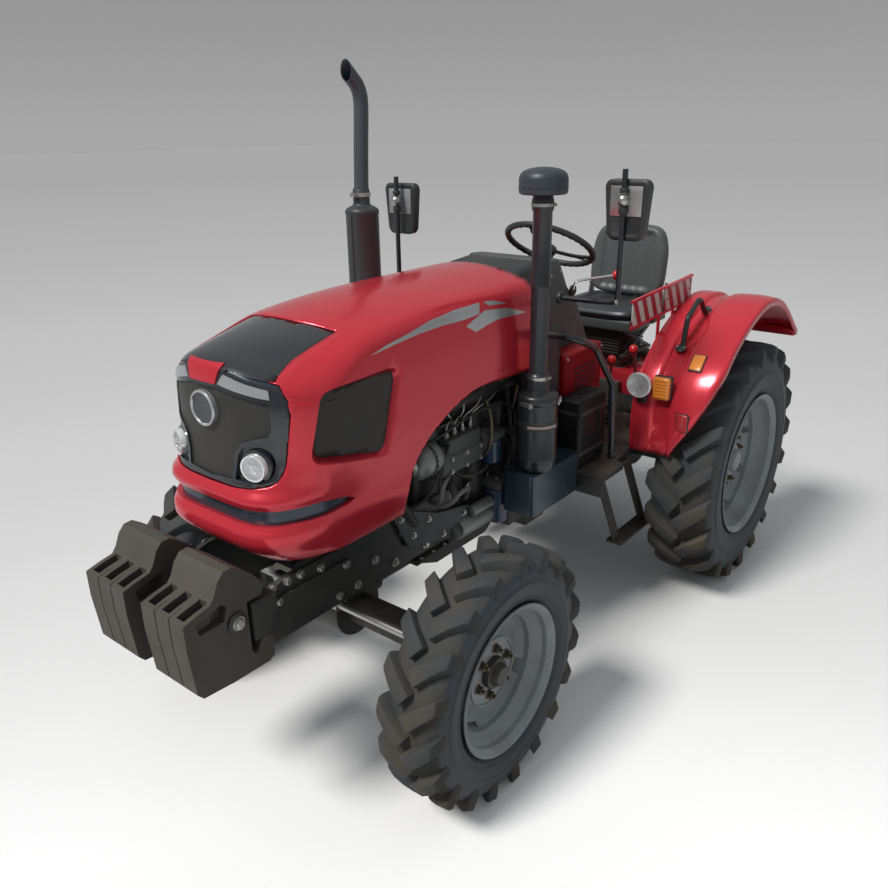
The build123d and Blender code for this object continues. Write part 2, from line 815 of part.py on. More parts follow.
with BuildPart() as steering_wheel:
    with BuildSketch(Plane(origin=wheel_plane.origin, x_dir=wheel_plane.x_dir, z_dir=wheel_plane.y_dir)):
        with Locations((186, 0)):
            Circle(14)
    revolve(axis=Axis(wheel_plane.origin, wheel_plane.z_dir))
    with BuildSketch(wheel_plane.offset(-38)):
        Circle(34)
    extrude(amount=30)
    with BuildSketch(wheel_plane.offset(-24)):
        with PolarLocations(100, 3, start_angle=90):
            Rectangle(170, 20)
    extrude(amount=12)
save(steering_wheel.part, "steering_wheel")

with BuildPart() as levers:
    # columns: foot X, Y, knob X, Y, Z
    for foot_x, foot_y, knob_x, knob_y, knob_z in (
        (230, 560, 250, 520, 1040), (-230, 560, -250, 520, 1040), (330, 620, 330, 560, 1090),
        (-330, 620, -330, 560, 1090),
    ):
        add(tube(
            [(foot_x, foot_y, platform_z + platform_thick), (foot_x, foot_y, 900), (knob_x, knob_y, knob_z)],
            7, 40,
        ))
        with Locations((knob_x, knob_y, knob_z)):
            Sphere(20)
save(levers.part, "levers")

# ---------------------------------------------------------------- seat
seat_y = 975
cushion_low_z = 1095
cushion_high_z = 1205
with BuildPart() as seat_base:
    with BuildSketch(Plane.XY.offset(905)):
        with Locations((0, seat_y - 15)):
            Rectangle(260, 200)
    extrude(amount=50)
    # side frames of the suspension
    with BuildSketch(Plane.XY.offset(955)):
        with Locations((0, seat_y)):
            Rectangle(330, 330)
    extrude(amount=cushion_low_z - 955)
save(seat_base.part, "seat_base")

with BuildPart() as seat_cushion:
    with BuildSketch(Plane.XY.offset(cushion_low_z)):
        with Locations((0, seat_y)):
            RectangleRounded(430, 410, 60)
    extrude(amount=cushion_high_z - cushion_low_z)
    fillet(seat_cushion.faces().sort_by(Axis.Z)[-1].edges(), 30)
save(seat_cushion.part, "seat_cushion")

with BuildPart() as seat_back:
    with BuildSketch(Plane.XY.offset(cushion_high_z)):
        with Locations((0, seat_y + 145)):
            RectangleRounded(410, 84, 38)
    extrude(amount=345, dir=(0, 0.13, 1))
    # rounded shoulders
    with BuildSketch(Plane.XZ.offset(-1400)):
        with Locations((0, cushion_high_z - 7)):
            RectangleRounded(410, 698, 95)
    extrude(amount=500, mode=Mode.INTERSECT)
save(seat_back.part, "seat_back")

# ---------------------------------------------------------------- mirrors
with BuildPart() as mirrors:
    # columns: side, stem X, stem Y, head middle X, head bottom Z, stem top Z
    for side, stem_x, stem_y, head_x, head_z, stem_z in (
        (1, 500, 34, 505, 1616, 1858), (-1, 525, 14, 533, 1576, 1812),
    ):
        add(tube([(side * 280, 10, 1400), (side * stem_x, 10, 1400), (side * stem_x, stem_y, stem_z)], 8, 60))
        with BuildSketch(Plane.XY.offset(head_z)):
            with Locations((side * head_x, 62)):
                RectangleRounded(176, 34, 14)
        extrude(amount=210)
save(mirrors.part, "mirrors")

# ---------------------------------------------------------------- rear: hitch, drawbar, power take-off
arm_end_y = rockshaft_y + link_arm_y
arm_end_z = rockshaft_z + link_arm_z
rod_y = link_pin_y + link_arm_y
rod_z = link_pin_z + link_arm_z
link_end_y = 1658
link_end_z = 404

with BuildPart() as lift_arms:
    for side in (1, -1):
        with BuildSketch(Plane.YZ.offset(side * 190)):
            with Locations((rockshaft_y, rockshaft_z)):
                Circle(50)
        extrude(amount=side * 50)
        with BuildSketch(Plane.YZ.offset(side * 212)):
            with BuildLine():
                Polyline(
                    (rockshaft_y - 10, rockshaft_z + 48), (arm_end_y, arm_end_z + 24),
                    (arm_end_y, arm_end_z - 24), (rockshaft_y - 10, rockshaft_z - 48),
                    (rockshaft_y - 10, rockshaft_z + 48),
                )
            make_face()
            with Locations((arm_end_y, arm_end_z)):
                Circle(24)
        extrude(amount=side * 22)
        with BuildSketch(Plane.YZ.offset(side * 234)):
            with Locations((arm_end_y, arm_end_z)):
                Circle(11)
        extrude(amount=side * (lift_x + 22 - 234))
    # cross shaft inside the lift tube
    with BuildSketch(Plane.YZ.offset(-190)):
        with Locations((rockshaft_y, rockshaft_z)):
            Circle(30)
    extrude(amount=380)
save(lift_arms.part, "lift_arms")

for name, side in sides:
    with BuildPart() as lower_link:
        with BuildSketch(Plane.YZ.offset(side * 222)):
            with Locations((link_pin_y, link_pin_z)):
                Circle(30)
                Circle(14, mode=Mode.SUBTRACT)
        extrude(amount=side * 28)
        # flat bar, splayed outward towards the ball end
        with BuildSketch(Plane(origin=(side * 236, link_pin_y + 22, link_pin_z - 4),
                               x_dir=(1, 0, 0), z_dir=(side * 104, 576, -62))):
            Rectangle(20, 56)
        extrude(amount=560)
        with BuildSketch(Plane.YZ.offset(side * 322)):
            with Locations((link_end_y, link_end_z)):
                Circle(32)
                Circle(11, mode=Mode.SUBTRACT)
        extrude(amount=side * 36)
        # pin of the lift rod
        with BuildSketch(Plane.YZ.offset(side * 250)):
            with Locations((rod_y, rod_z)):
                Circle(11)
        extrude(amount=side * (lift_x + 22 - 250))
    save(lower_link.part, f"lower_link_{name}")

    with BuildPart() as lift_rod:
        for y, z in ((arm_end_y, arm_end_z), (rod_y, rod_z)):
            with BuildSketch(Plane.YZ.offset(side * lift_x)):
                with Locations((y, z)):
                    Circle(22)
                    Circle(12, mode=Mode.SUBTRACT)
            extrude(amount=side * 20)
        with BuildSketch(Plane(origin=(side * (lift_x + 10), rod_y + 4, rod_z + 18),
                               z_dir=(0, arm_end_y - rod_y, arm_end_z - rod_z))):
            Circle(12)
        extrude(amount=385)
    save(lift_rod.part, f"lift_rod_{name}")

with BuildPart() as drawbar:
    with BuildSketch(Plane.XY.offset(360)):
        with Locations((0, 1260)):
            Rectangle(70, 500)
        with Locations((0, 1470)):
            Circle(14, mode=Mode.SUBTRACT)
    extrude(amount=28)
    with BuildSketch(Plane.XY.offset(388)):
        with Locations((0, 1080)):
            Rectangle(110, 60)
    extrude(amount=12)
save(drawbar.part, "drawbar")

with BuildPart() as pto_shaft:
    with BuildSketch(Plane.XZ.offset(-1160)):
        with Locations((0, 610)):
            Circle(60)
    extrude(amount=-30)
    with BuildSketch(Plane.XZ.offset(-1190)):
        with Locations((0, 610)):
            Circle(17.5)
    extrude(amount=-80)
    # shield over the shaft
    with BuildSketch(Plane.XY.offset(690)):
        with Locations((0, 1225)):
            Rectangle(220, 130)
    extrude(amount=8)
save(pto_shaft.part, "pto_shaft")

with BuildPart() as top_link:
    # bracket and the link folded up against it
    with BuildSketch(Plane.YZ.offset(-40)):
        with BuildLine():
            Polyline((1160, 700), (1255, 740), (1255, 790), (1225, 800), (1160, 800), (1160, 700))
        make_face()
    extrude(amount=80)
    with BuildSketch(Plane(origin=(0, 1240, 795), z_dir=(0, 0.42, 1))):
        Circle(17)
    extrude(amount=330)
save(top_link.part, "top_link")
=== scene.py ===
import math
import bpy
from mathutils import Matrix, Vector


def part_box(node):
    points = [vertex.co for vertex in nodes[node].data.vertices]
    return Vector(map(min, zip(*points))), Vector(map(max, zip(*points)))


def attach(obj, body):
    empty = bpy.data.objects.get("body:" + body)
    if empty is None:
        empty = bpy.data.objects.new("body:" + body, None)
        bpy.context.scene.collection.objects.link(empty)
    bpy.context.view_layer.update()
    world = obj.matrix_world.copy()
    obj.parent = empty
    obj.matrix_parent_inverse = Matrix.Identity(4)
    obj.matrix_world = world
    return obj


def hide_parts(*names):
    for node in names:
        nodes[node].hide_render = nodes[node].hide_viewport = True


bl_info = {"name": "Farm Tractor", "version": (1, 0, 0), "blender": (4, 5, 0),
    "location": "3D View > Sidebar > Farm Tractor", "description":
    "Dresses a compact farm tractor: wheels, hood, fenders, seat, engine and fittings", "category": "Object"}

import bmesh
import bpy
from bpy.props import FloatProperty, FloatVectorProperty, IntProperty, PointerProperty
from mathutils import Matrix, Vector

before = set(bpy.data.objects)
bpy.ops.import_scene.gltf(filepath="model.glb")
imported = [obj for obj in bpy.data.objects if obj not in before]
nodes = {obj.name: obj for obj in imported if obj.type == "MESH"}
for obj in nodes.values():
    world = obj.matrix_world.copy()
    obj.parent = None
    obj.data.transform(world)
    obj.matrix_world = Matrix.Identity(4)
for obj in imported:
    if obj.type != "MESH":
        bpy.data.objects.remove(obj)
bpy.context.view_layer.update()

# a shape that is worked in millimetres is handed to make_piece with this unit
MM = 0.001
ORIGIN = (0, 0, 0)
X_AXIS, Y_AXIS, Z_AXIS = Vector((1, 0, 0)), Vector((0, 1, 0)), Vector((0, 0, 1))
FORWARD = (0, -1, 0)


# ---------- settings
def colour_setting(name, description, default):
    return FloatVectorProperty(name=name, description=description, default=default, subtype="COLOR", size=3, min=0.0,
        max=1.0)


def length_setting(name, description, default):
    return FloatProperty(name=name, description=description, default=default, unit="LENGTH", subtype="DISTANCE",
        min=0.0)


class TractorFinishes(bpy.types.PropertyGroup):
    """Colours of the tractor's finishes."""

    red: colour_setting("Body red", "Enamel of the hood and the fenders", (0.56, 0.0022, 0.0095))
    mask: colour_setting("Mask black", "Glossy plastic of the nose", (0.01, 0.015, 0.022))
    plastic: colour_setting("Charcoal plastic", "Console, mirror shells and trim", (0.022, 0.024, 0.026))
    chassis: colour_setting("Chassis black", "Paint of the frame, axles and brackets", (0.01, 0.012, 0.015))
    casting: colour_setting("Engine grey", "Cast housings of the engine", (0.075, 0.08, 0.08))
    iron: colour_setting("Weight iron", "Cast iron of the front weights", (0.058, 0.056, 0.05))
    rubber: colour_setting("Rubber", "Tyre sidewalls", (0.034, 0.045, 0.056))
    dust: colour_setting("Dust", "Dry soil on the running gear", (0.092, 0.08, 0.06))
    rim: colour_setting("Rim grey", "Enamel of the wheel rims", (0.32, 0.35, 0.37))
    vinyl: colour_setting("Seat vinyl", "Cover of the seat", (0.078, 0.088, 0.09))
    steel: colour_setting("Bare steel", "Pins, shafts and bolts", (0.42, 0.42, 0.41))
    amber: colour_setting("Amber lens", "Turn lamps and reflectors", (0.9, 0.28, 0.03))


class TractorSizes(bpy.types.PropertyGroup):
    """Sizes of the tractor's dressed pieces."""

    front_lugs: IntProperty(name="Front lugs", description="Lugs on each side of a front tyre", default=19, min=8)
    rear_lugs: IntProperty(name="Rear lugs", description="Lugs on each side of a rear tyre", default=20, min=8)
    hood_half_width: length_setting("Hood half width", "Middle to flank of the hood", 0.29)
    hood_skin: length_setting("Hood skin", "Thickness of the hood's panels", 0.004)
    fender_skin: length_setting("Fender skin", "Thickness of the fenders' sheet", 0.005)
    wheel_ring: length_setting("Steering wheel radius", "Middle of the wheel to the middle of its rim", 0.186)
    key_strength: FloatProperty(name="Key light", description="Strength of the key light", default=2.7, min=0.0)
    world_strength: FloatProperty(name="Fill light", description="Strength of the even fill light", default=0.42,
        min=0.0)


def finishes():
    return bpy.context.scene.tractor_finishes


def sizes():
    return bpy.context.scene.tractor_sizes


def mm(*points):
    """Points of a table in millimetres, in metres."""
    return tuple(tuple(value / 1000 for value in point) for point in points)


def cad_box(node):
    """Corners of a CAD node, in millimetres."""
    return [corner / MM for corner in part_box(node)]


# ---------- making shapes
def aim(place, direction, spin=0.0):
    """Matrix that stands a shape's Z axis along a direction at a place."""
    turn = Vector(direction).to_track_quat("Z", "Y").to_matrix().to_4x4()
    return Matrix.Translation(Vector(place)) @ turn @ Matrix.Rotation(spin, 4, "Z")


def turned(place, angle, axis):
    return Matrix.Translation(place) @ Matrix.Rotation(angle, 4, axis)


def around(angle, radius=1.0):
    """A point on a circle about Z."""
    return Vector((radius * math.cos(angle), radius * math.sin(angle), 0))


def paint(faces, slot):
    for face in faces:
        face.material_index = slot


def faces_of(verts):
    return list({face for vert in verts for face in vert.link_faces})


def verts_in(geometry):
    return [item for item in geometry if isinstance(item, bmesh.types.BMVert)]


def middle_of(face):
    return face.calc_center_median()


def soften(bm, edges, radius, segments=2):
    return bmesh.ops.bevel(bm, geom=list(edges), offset=radius, segments=segments, profile=0.5, affect="EDGES",
        material=-1)


def box(bm, low, high, slot=0, bevel=0.0, segments=2, matrix=None):
    low, high = Vector(low), Vector(high)
    verts = bmesh.ops.create_cube(bm, size=1.0)["verts"]
    bmesh.ops.scale(bm, vec=high - low, verts=verts)
    bmesh.ops.translate(bm, vec=(low + high) / 2, verts=verts)
    faces = faces_of(verts)
    paint(faces, slot)
    if bevel:
        made = soften(bm, {edge for face in faces for edge in face.edges}, bevel, segments)
        verts = list({vert for face in made["faces"] for vert in face.verts})
    if matrix:
        bmesh.ops.transform(bm, matrix=matrix, verts=verts)
    return verts


def boxes(bm, *rows):
    """Boxes from rows of low X, Y, Z, high X, Y, Z, slot, bevel and the bevel's segments."""
    for row in rows:
        box(bm, row[:3], row[3:6], *row[6:])


def rod(bm, place, direction, radius, depth, slot=0, sides=32, top=None, spin=0.0, bevel=0.0):
    """A cylinder or cone that starts at a place and goes along a direction."""
    direction = Vector(direction).normalized()
    verts = bmesh.ops.create_cone(bm, cap_ends=True, cap_tris=False, segments=sides, radius1=radius,
        radius2=radius if top is None else top, depth=depth, matrix=aim(Vector(place) + direction * depth / 2,
        direction, spin))["verts"]
    faces = faces_of(verts)
    paint(faces, slot)
    if bevel:
        soften(bm, {edge for face in faces if len(face.verts) > 4 for edge in face.edges}, bevel)


def lathe(bm, profile, place, direction, slot=0, steps=64, closed=False):
    """Spins a profile of (radius, distance along the axis) round an axis."""
    chain = [bm.verts.new((radius, 0, along)) for radius, along in profile]
    edges = [bm.edges.new(pair) for pair in zip(chain, chain[1:])]
    if closed:
        edges.append(bm.edges.new((chain[-1], chain[0])))
    before = set(bm.faces)
    bmesh.ops.spin(bm, geom=chain + edges, cent=ORIGIN, axis=Z_AXIS, angle=math.tau, steps=steps, use_merge=True)
    faces = set(bm.faces) - before
    paint(faces, slot)
    bmesh.ops.remove_doubles(bm, verts=list({vert for face in faces for vert in face.verts}), dist=1e-6)
    verts = {vert for face in set(bm.faces) - before for vert in face.verts}
    bmesh.ops.transform(bm, matrix=aim(place, direction), verts=list(verts))


def prism(bm, outline, depth, slot=0):
    """A flat outline of a few points, pushed along a vector."""
    corners = [bm.verts.new(point) for point in outline]
    made = bmesh.ops.extrude_face_region(bm, geom=[bm.faces.new(corners)])["geom"]
    moved = verts_in(made)
    bmesh.ops.translate(bm, vec=Vector(depth), verts=moved)
    verts = corners + moved
    faces = faces_of(verts)
    paint(faces, slot)
    bmesh.ops.recalc_face_normals(bm, faces=faces)
    return verts


def flank(points, x):
    """Side-view points, as (Y, Z), placed at a width."""
    return [(x, y, z) for y, z in points]


def curve_mesh(points, resolution, radius=0.0, sides=4, straight=False):
    """Mesh of a line that runs smoothly near its points, or straight: a tube where it has a radius."""
    curve = bpy.data.curves.new("line", "CURVE")
    curve.dimensions = "3D"
    curve.bevel_depth = radius
    curve.bevel_resolution = max(1, sides // 4)
    curve.resolution_u = resolution
    curve.use_fill_caps = True
    line = curve.splines.new("POLY" if straight else "NURBS")
    line.points.add(len(points) - 1)
    for point, place in zip(line.points, points):
        point.co = (*place, 1.0)
    if not straight:
        line.order_u = 3
        line.use_endpoint_u = True
    holder = bpy.data.objects.new("line", curve)
    mesh = bpy.data.meshes.new_from_object(holder)
    bpy.data.objects.remove(holder)
    bpy.data.curves.remove(curve)
    return mesh


def pipe(bm, points, radius, slot=0, sides=10, straight=False):
    """A round tube along a smooth line, or along straight runs."""
    mesh = curve_mesh(points, 8, radius, sides, straight)
    before = set(bm.faces)
    bm.from_mesh(mesh)
    paint(set(bm.faces) - before, slot)
    bpy.data.meshes.remove(mesh)


def bolt(bm, place, direction, across, slot=0):
    """A washer and a hexagon head with a bevelled crown."""
    direction = Vector(direction).normalized()
    place, height = Vector(place), across * 0.45
    rod(bm, place, direction, across * 0.78, across * 0.12, slot, 16)
    place = place + direction * across * 0.12
    rod(bm, place, direction, across * 0.58, height * 0.8, slot, 6)
    rod(bm, place + direction * height * 0.8, direction, across * 0.58, height * 0.2, slot, 6, across * 0.44)


def bolts(bm, direction, across, slot, places):
    for place in places:
        bolt(bm, place, direction, across, slot)


def push_in(bm, faces, depth):
    """Sinks a group of faces along a vector, with walls round them."""
    made = bmesh.ops.extrude_face_region(bm, geom=faces)["geom"]
    bmesh.ops.delete(bm, geom=faces, context="FACES_ONLY")
    bmesh.ops.translate(bm, vec=Vector(depth), verts=verts_in(made))
    return [item for item in made if isinstance(item, bmesh.types.BMFace)]


def cut(bm, place, normal, faces=None, dist=1e-6):
    """A line of edges where a plane meets the whole shape, or some of its faces."""
    faces = set(bm.faces if faces is None else faces)
    parts = {edge for face in faces for edge in face.edges} | {vert for face in faces for vert in face.verts}
    bmesh.ops.bisect_plane(bm, geom=list(faces | parts), dist=dist, plane_co=Vector(place), plane_no=Vector(normal))


def cuts(bm, axis, places):
    """Lines of edges square to one axis."""
    for place in places:
        cut(bm, axis * place, axis)


def add_mirrored(bm):
    """Adds the right side to a shape that was made for the left."""
    made = bmesh.ops.duplicate(bm, geom=list(bm.verts) + list(bm.edges) + list(bm.faces))["geom"]
    bmesh.ops.scale(bm, vec=(-1, 1, 1), verts=verts_in(made))
    bmesh.ops.reverse_faces(bm, faces=[item for item in made if isinstance(item, bmesh.types.BMFace)])


def keep_faces(bm, wanted):
    """A copy of the shape with only the faces that a test picks."""
    part = bm.copy()
    bmesh.ops.delete(part, geom=[face for face in part.faces if not wanted(face)], context="FACES")
    bmesh.ops.delete(part, geom=[vert for vert in part.verts if not vert.link_faces], context="VERTS")
    return part


def smooth_step(value):
    value = max(0.0, min(1.0, value))
    return value * value * (3 - 2 * value)


def mix(table, value):
    """Reads a table of (place, value) pairs along a smooth line through them."""
    if value <= table[0][0]:
        return table[0][1]
    if value >= table[-1][0]:
        return table[-1][1]
    slopes = [(high - low) / (b - a) for (a, low), (b, high) in zip(table, table[1:])]
    leans = [slopes[0]]
    for before, after in zip(slopes, slopes[1:]):
        leans.append(2 * before * after / (before + after) if before * after > 0 else 0.0)
    leans.append(slopes[-1])
    at = max(number for number in range(len(slopes)) if table[number][0] <= value)
    (a, low), (b, high) = table[at], table[at + 1]
    wide = b - a
    t = (value - a) / wide
    return (low * (2 * t ** 3 - 3 * t ** 2 + 1) + wide * leans[at] * (t ** 3 - 2 * t ** 2 + t) + high * (3 * t ** 2 -
        2 * t ** 3) + wide * leans[at + 1] * (t ** 3 - t ** 2))


def make_piece(name, bm, finish_names, body="root", stands_for=(), sharp=35, bevel=0.0, segments=2,
    skin=0.0, recalc=True, subsurf=0, unit=1.0):
    """Turns a shape into a named object that rides on a body."""
    if recalc:
        bmesh.ops.remove_doubles(bm, verts=bm.verts, dist=1e-6 / unit)
        bmesh.ops.recalc_face_normals(bm, faces=bm.faces)
    bmesh.ops.scale(bm, vec=(unit, unit, unit), verts=bm.verts)
    mesh = bpy.data.meshes.new(name)
    bm.to_mesh(mesh)
    bm.free()
    for finish_name in finish_names.split():
        mesh.materials.append(finish(finish_name))
    mesh.shade_smooth()
    mesh.set_sharp_from_angle(angle=math.radians(sharp))
    piece = bpy.data.objects.new(name, mesh)
    bpy.context.scene.collection.objects.link(piece)
    if skin:
        wall = piece.modifiers.new("Wall", "SOLIDIFY")
        wall.thickness = skin
        wall.offset = -1.0
    if bevel:
        edge = piece.modifiers.new("Edges", "BEVEL")
        edge.width = bevel * unit
        edge.segments = segments
        edge.limit_method = "ANGLE"
        edge.angle_limit = math.radians(40)
        edge.harden_normals = True
    if subsurf:
        smooth = piece.modifiers.new("Smooth", "SUBSURF")
        smooth.levels = subsurf
        smooth.render_levels = subsurf
    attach(piece, body)
    if stands_for:
        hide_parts(*stands_for)
    return piece


# ---------- shared shader groups
def feed(tree, node, inputs):
    """Wires sockets, or sets plain values, on the inputs of a node."""
    for label, value in inputs.items():
        socket = node.inputs[label]
        if isinstance(value, bpy.types.NodeSocket):
            tree.links.new(value, socket)
        elif hasattr(value, "__len__") and len(value) < len(socket.default_value):
            socket.default_value = (*value, 1.0)
        else:
            socket.default_value = value


def add_node(tree, kind, inputs=None, **settings):
    node = tree.nodes.new("ShaderNode" + kind)
    for name, value in settings.items():
        setattr(node, name, value)
    feed(tree, node, inputs or {})
    return node


def maths(tree, operation, first, second=0.5, clamp=False):
    return add_node(tree, "Math", {0: first, 1: second}, operation=operation, use_clamp=clamp).outputs[0]


def times(tree, first, second):
    return maths(tree, "MULTIPLY", first, second)


def noise(tree, scale, detail, roughness=0.55):
    place = add_node(tree, "TexCoord").outputs["Object"]
    inputs = {"Vector": place, "Scale": scale, "Detail": detail, "Roughness": roughness}
    return add_node(tree, "TexNoise", inputs).outputs["Fac"]


def spread(tree, value, low, high, to_low=0.0, to_high=1.0):
    inputs = {"Value": value, "From Min": low, "From Max": high, "To Min": to_low, "To Max": to_high}
    return add_node(tree, "MapRange", inputs, clamp=True).outputs["Result"]


def blend(tree, mode, factor, first, second):
    return add_node(tree, "Mix", {0: factor, 6: first, 7: second}, data_type="RGBA", blend_type=mode).outputs[2]


def axes(tree, output="Object"):
    """The parts along X, Y and Z of a texture coordinate."""
    place = add_node(tree, "TexCoord").outputs[output]
    return add_node(tree, "SeparateXYZ", {0: place}).outputs


def new_group(name, inputs, outputs):
    """A shader group with its inputs' starting values; an output named Color carries a colour."""
    group = bpy.data.node_groups.new(name, "ShaderNodeTree")
    for label, default in inputs.items():
        kind = "NodeSocketColor" if isinstance(default, tuple) else "NodeSocketFloat"
        group.interface.new_socket(label, in_out="INPUT", socket_type=kind).default_value = default
    for label in outputs:
        kind = "NodeSocketColor" if label == "Color" else "NodeSocketFloat"
        group.interface.new_socket(label, in_out="OUTPUT", socket_type=kind)
    return group, group.nodes.new("NodeGroupInput").outputs, group.nodes.new("NodeGroupOutput")


def grime_group():
    """Dry dust that gathers low down, on faces that look up, and in patches."""
    tree, given, result = new_group("Grime", {"Clean": (0.1, 0.1, 0.1, 1), "Dust": (0.1, 0.09, 0.07, 1),
        "Amount": 0.3, "Scale": 6.0, "Low": 0.5, "Settled": 0.4}, ("Color", "Mask"))
    patches = spread(tree, noise(tree, given["Scale"], 8.0, 0.62), 0.36, 0.68)
    low = times(tree, spread(tree, axes(tree)["Z"], 1.0, 0.1), given["Low"])
    up = times(tree, spread(tree, axes(tree, "Normal")["Z"], 0.1, 0.95), given["Settled"])
    reach = maths(tree, "ADD", maths(tree, "ADD", low, up), 0.25)
    gathered = times(tree, maths(tree, "ADD", patches, 0.25), reach)
    mask = maths(tree, "MULTIPLY", gathered, given["Amount"], clamp=True)
    tone = spread(tree, noise(tree, 2.3, 3.0), 0.3, 0.7, 0.88, 1.1)
    shade = add_node(tree, "CombineColor", {0: tone, 1: tone, 2: tone}).outputs[0]
    clean = blend(tree, "MULTIPLY", 1.0, given["Clean"], shade)
    feed(tree, result, {"Color": blend(tree, "MIX", mask, clean, given["Dust"]), "Mask": mask})
    return tree


def grain_group():
    """Height of a fine grain over a slow unevenness."""
    tree, given, result = new_group("Grain", {"Scale": 200.0, "Waves": 12.0, "Share": 0.5}, ["Height"])
    fine = times(tree, noise(tree, given["Scale"], 4.0), given["Share"])
    slow = times(tree, noise(tree, given["Waves"], 2.0), maths(tree, "SUBTRACT", 1.0, given["Share"]))
    feed(tree, result, {"Height": maths(tree, "ADD", fine, slow)})
    return tree


def scuff_group():
    """Mask of thin scratches and chips, for worn paint and rubbed metal."""
    tree, given, result = new_group("Scuffs", {"Scale": 30.0, "Amount": 0.2}, ["Mask"])
    chips = spread(tree, noise(tree, given["Scale"], 10.0, 0.75), 0.6, 0.68)
    both = times(tree, chips, spread(tree, noise(tree, 3.1, 2.0), 0.42, 0.6))
    feed(tree, result, {"Mask": maths(tree, "MULTIPLY", both, given["Amount"], clamp=True)})
    return tree


GROUP_MAKERS = {"Grime": grime_group, "Grain": grain_group, "Scuffs": scuff_group}


def place_group(tree, name, **values):
    group = bpy.data.node_groups.get(name) or GROUP_MAKERS[name]()
    return add_node(tree, "Group", values, node_tree=group).outputs


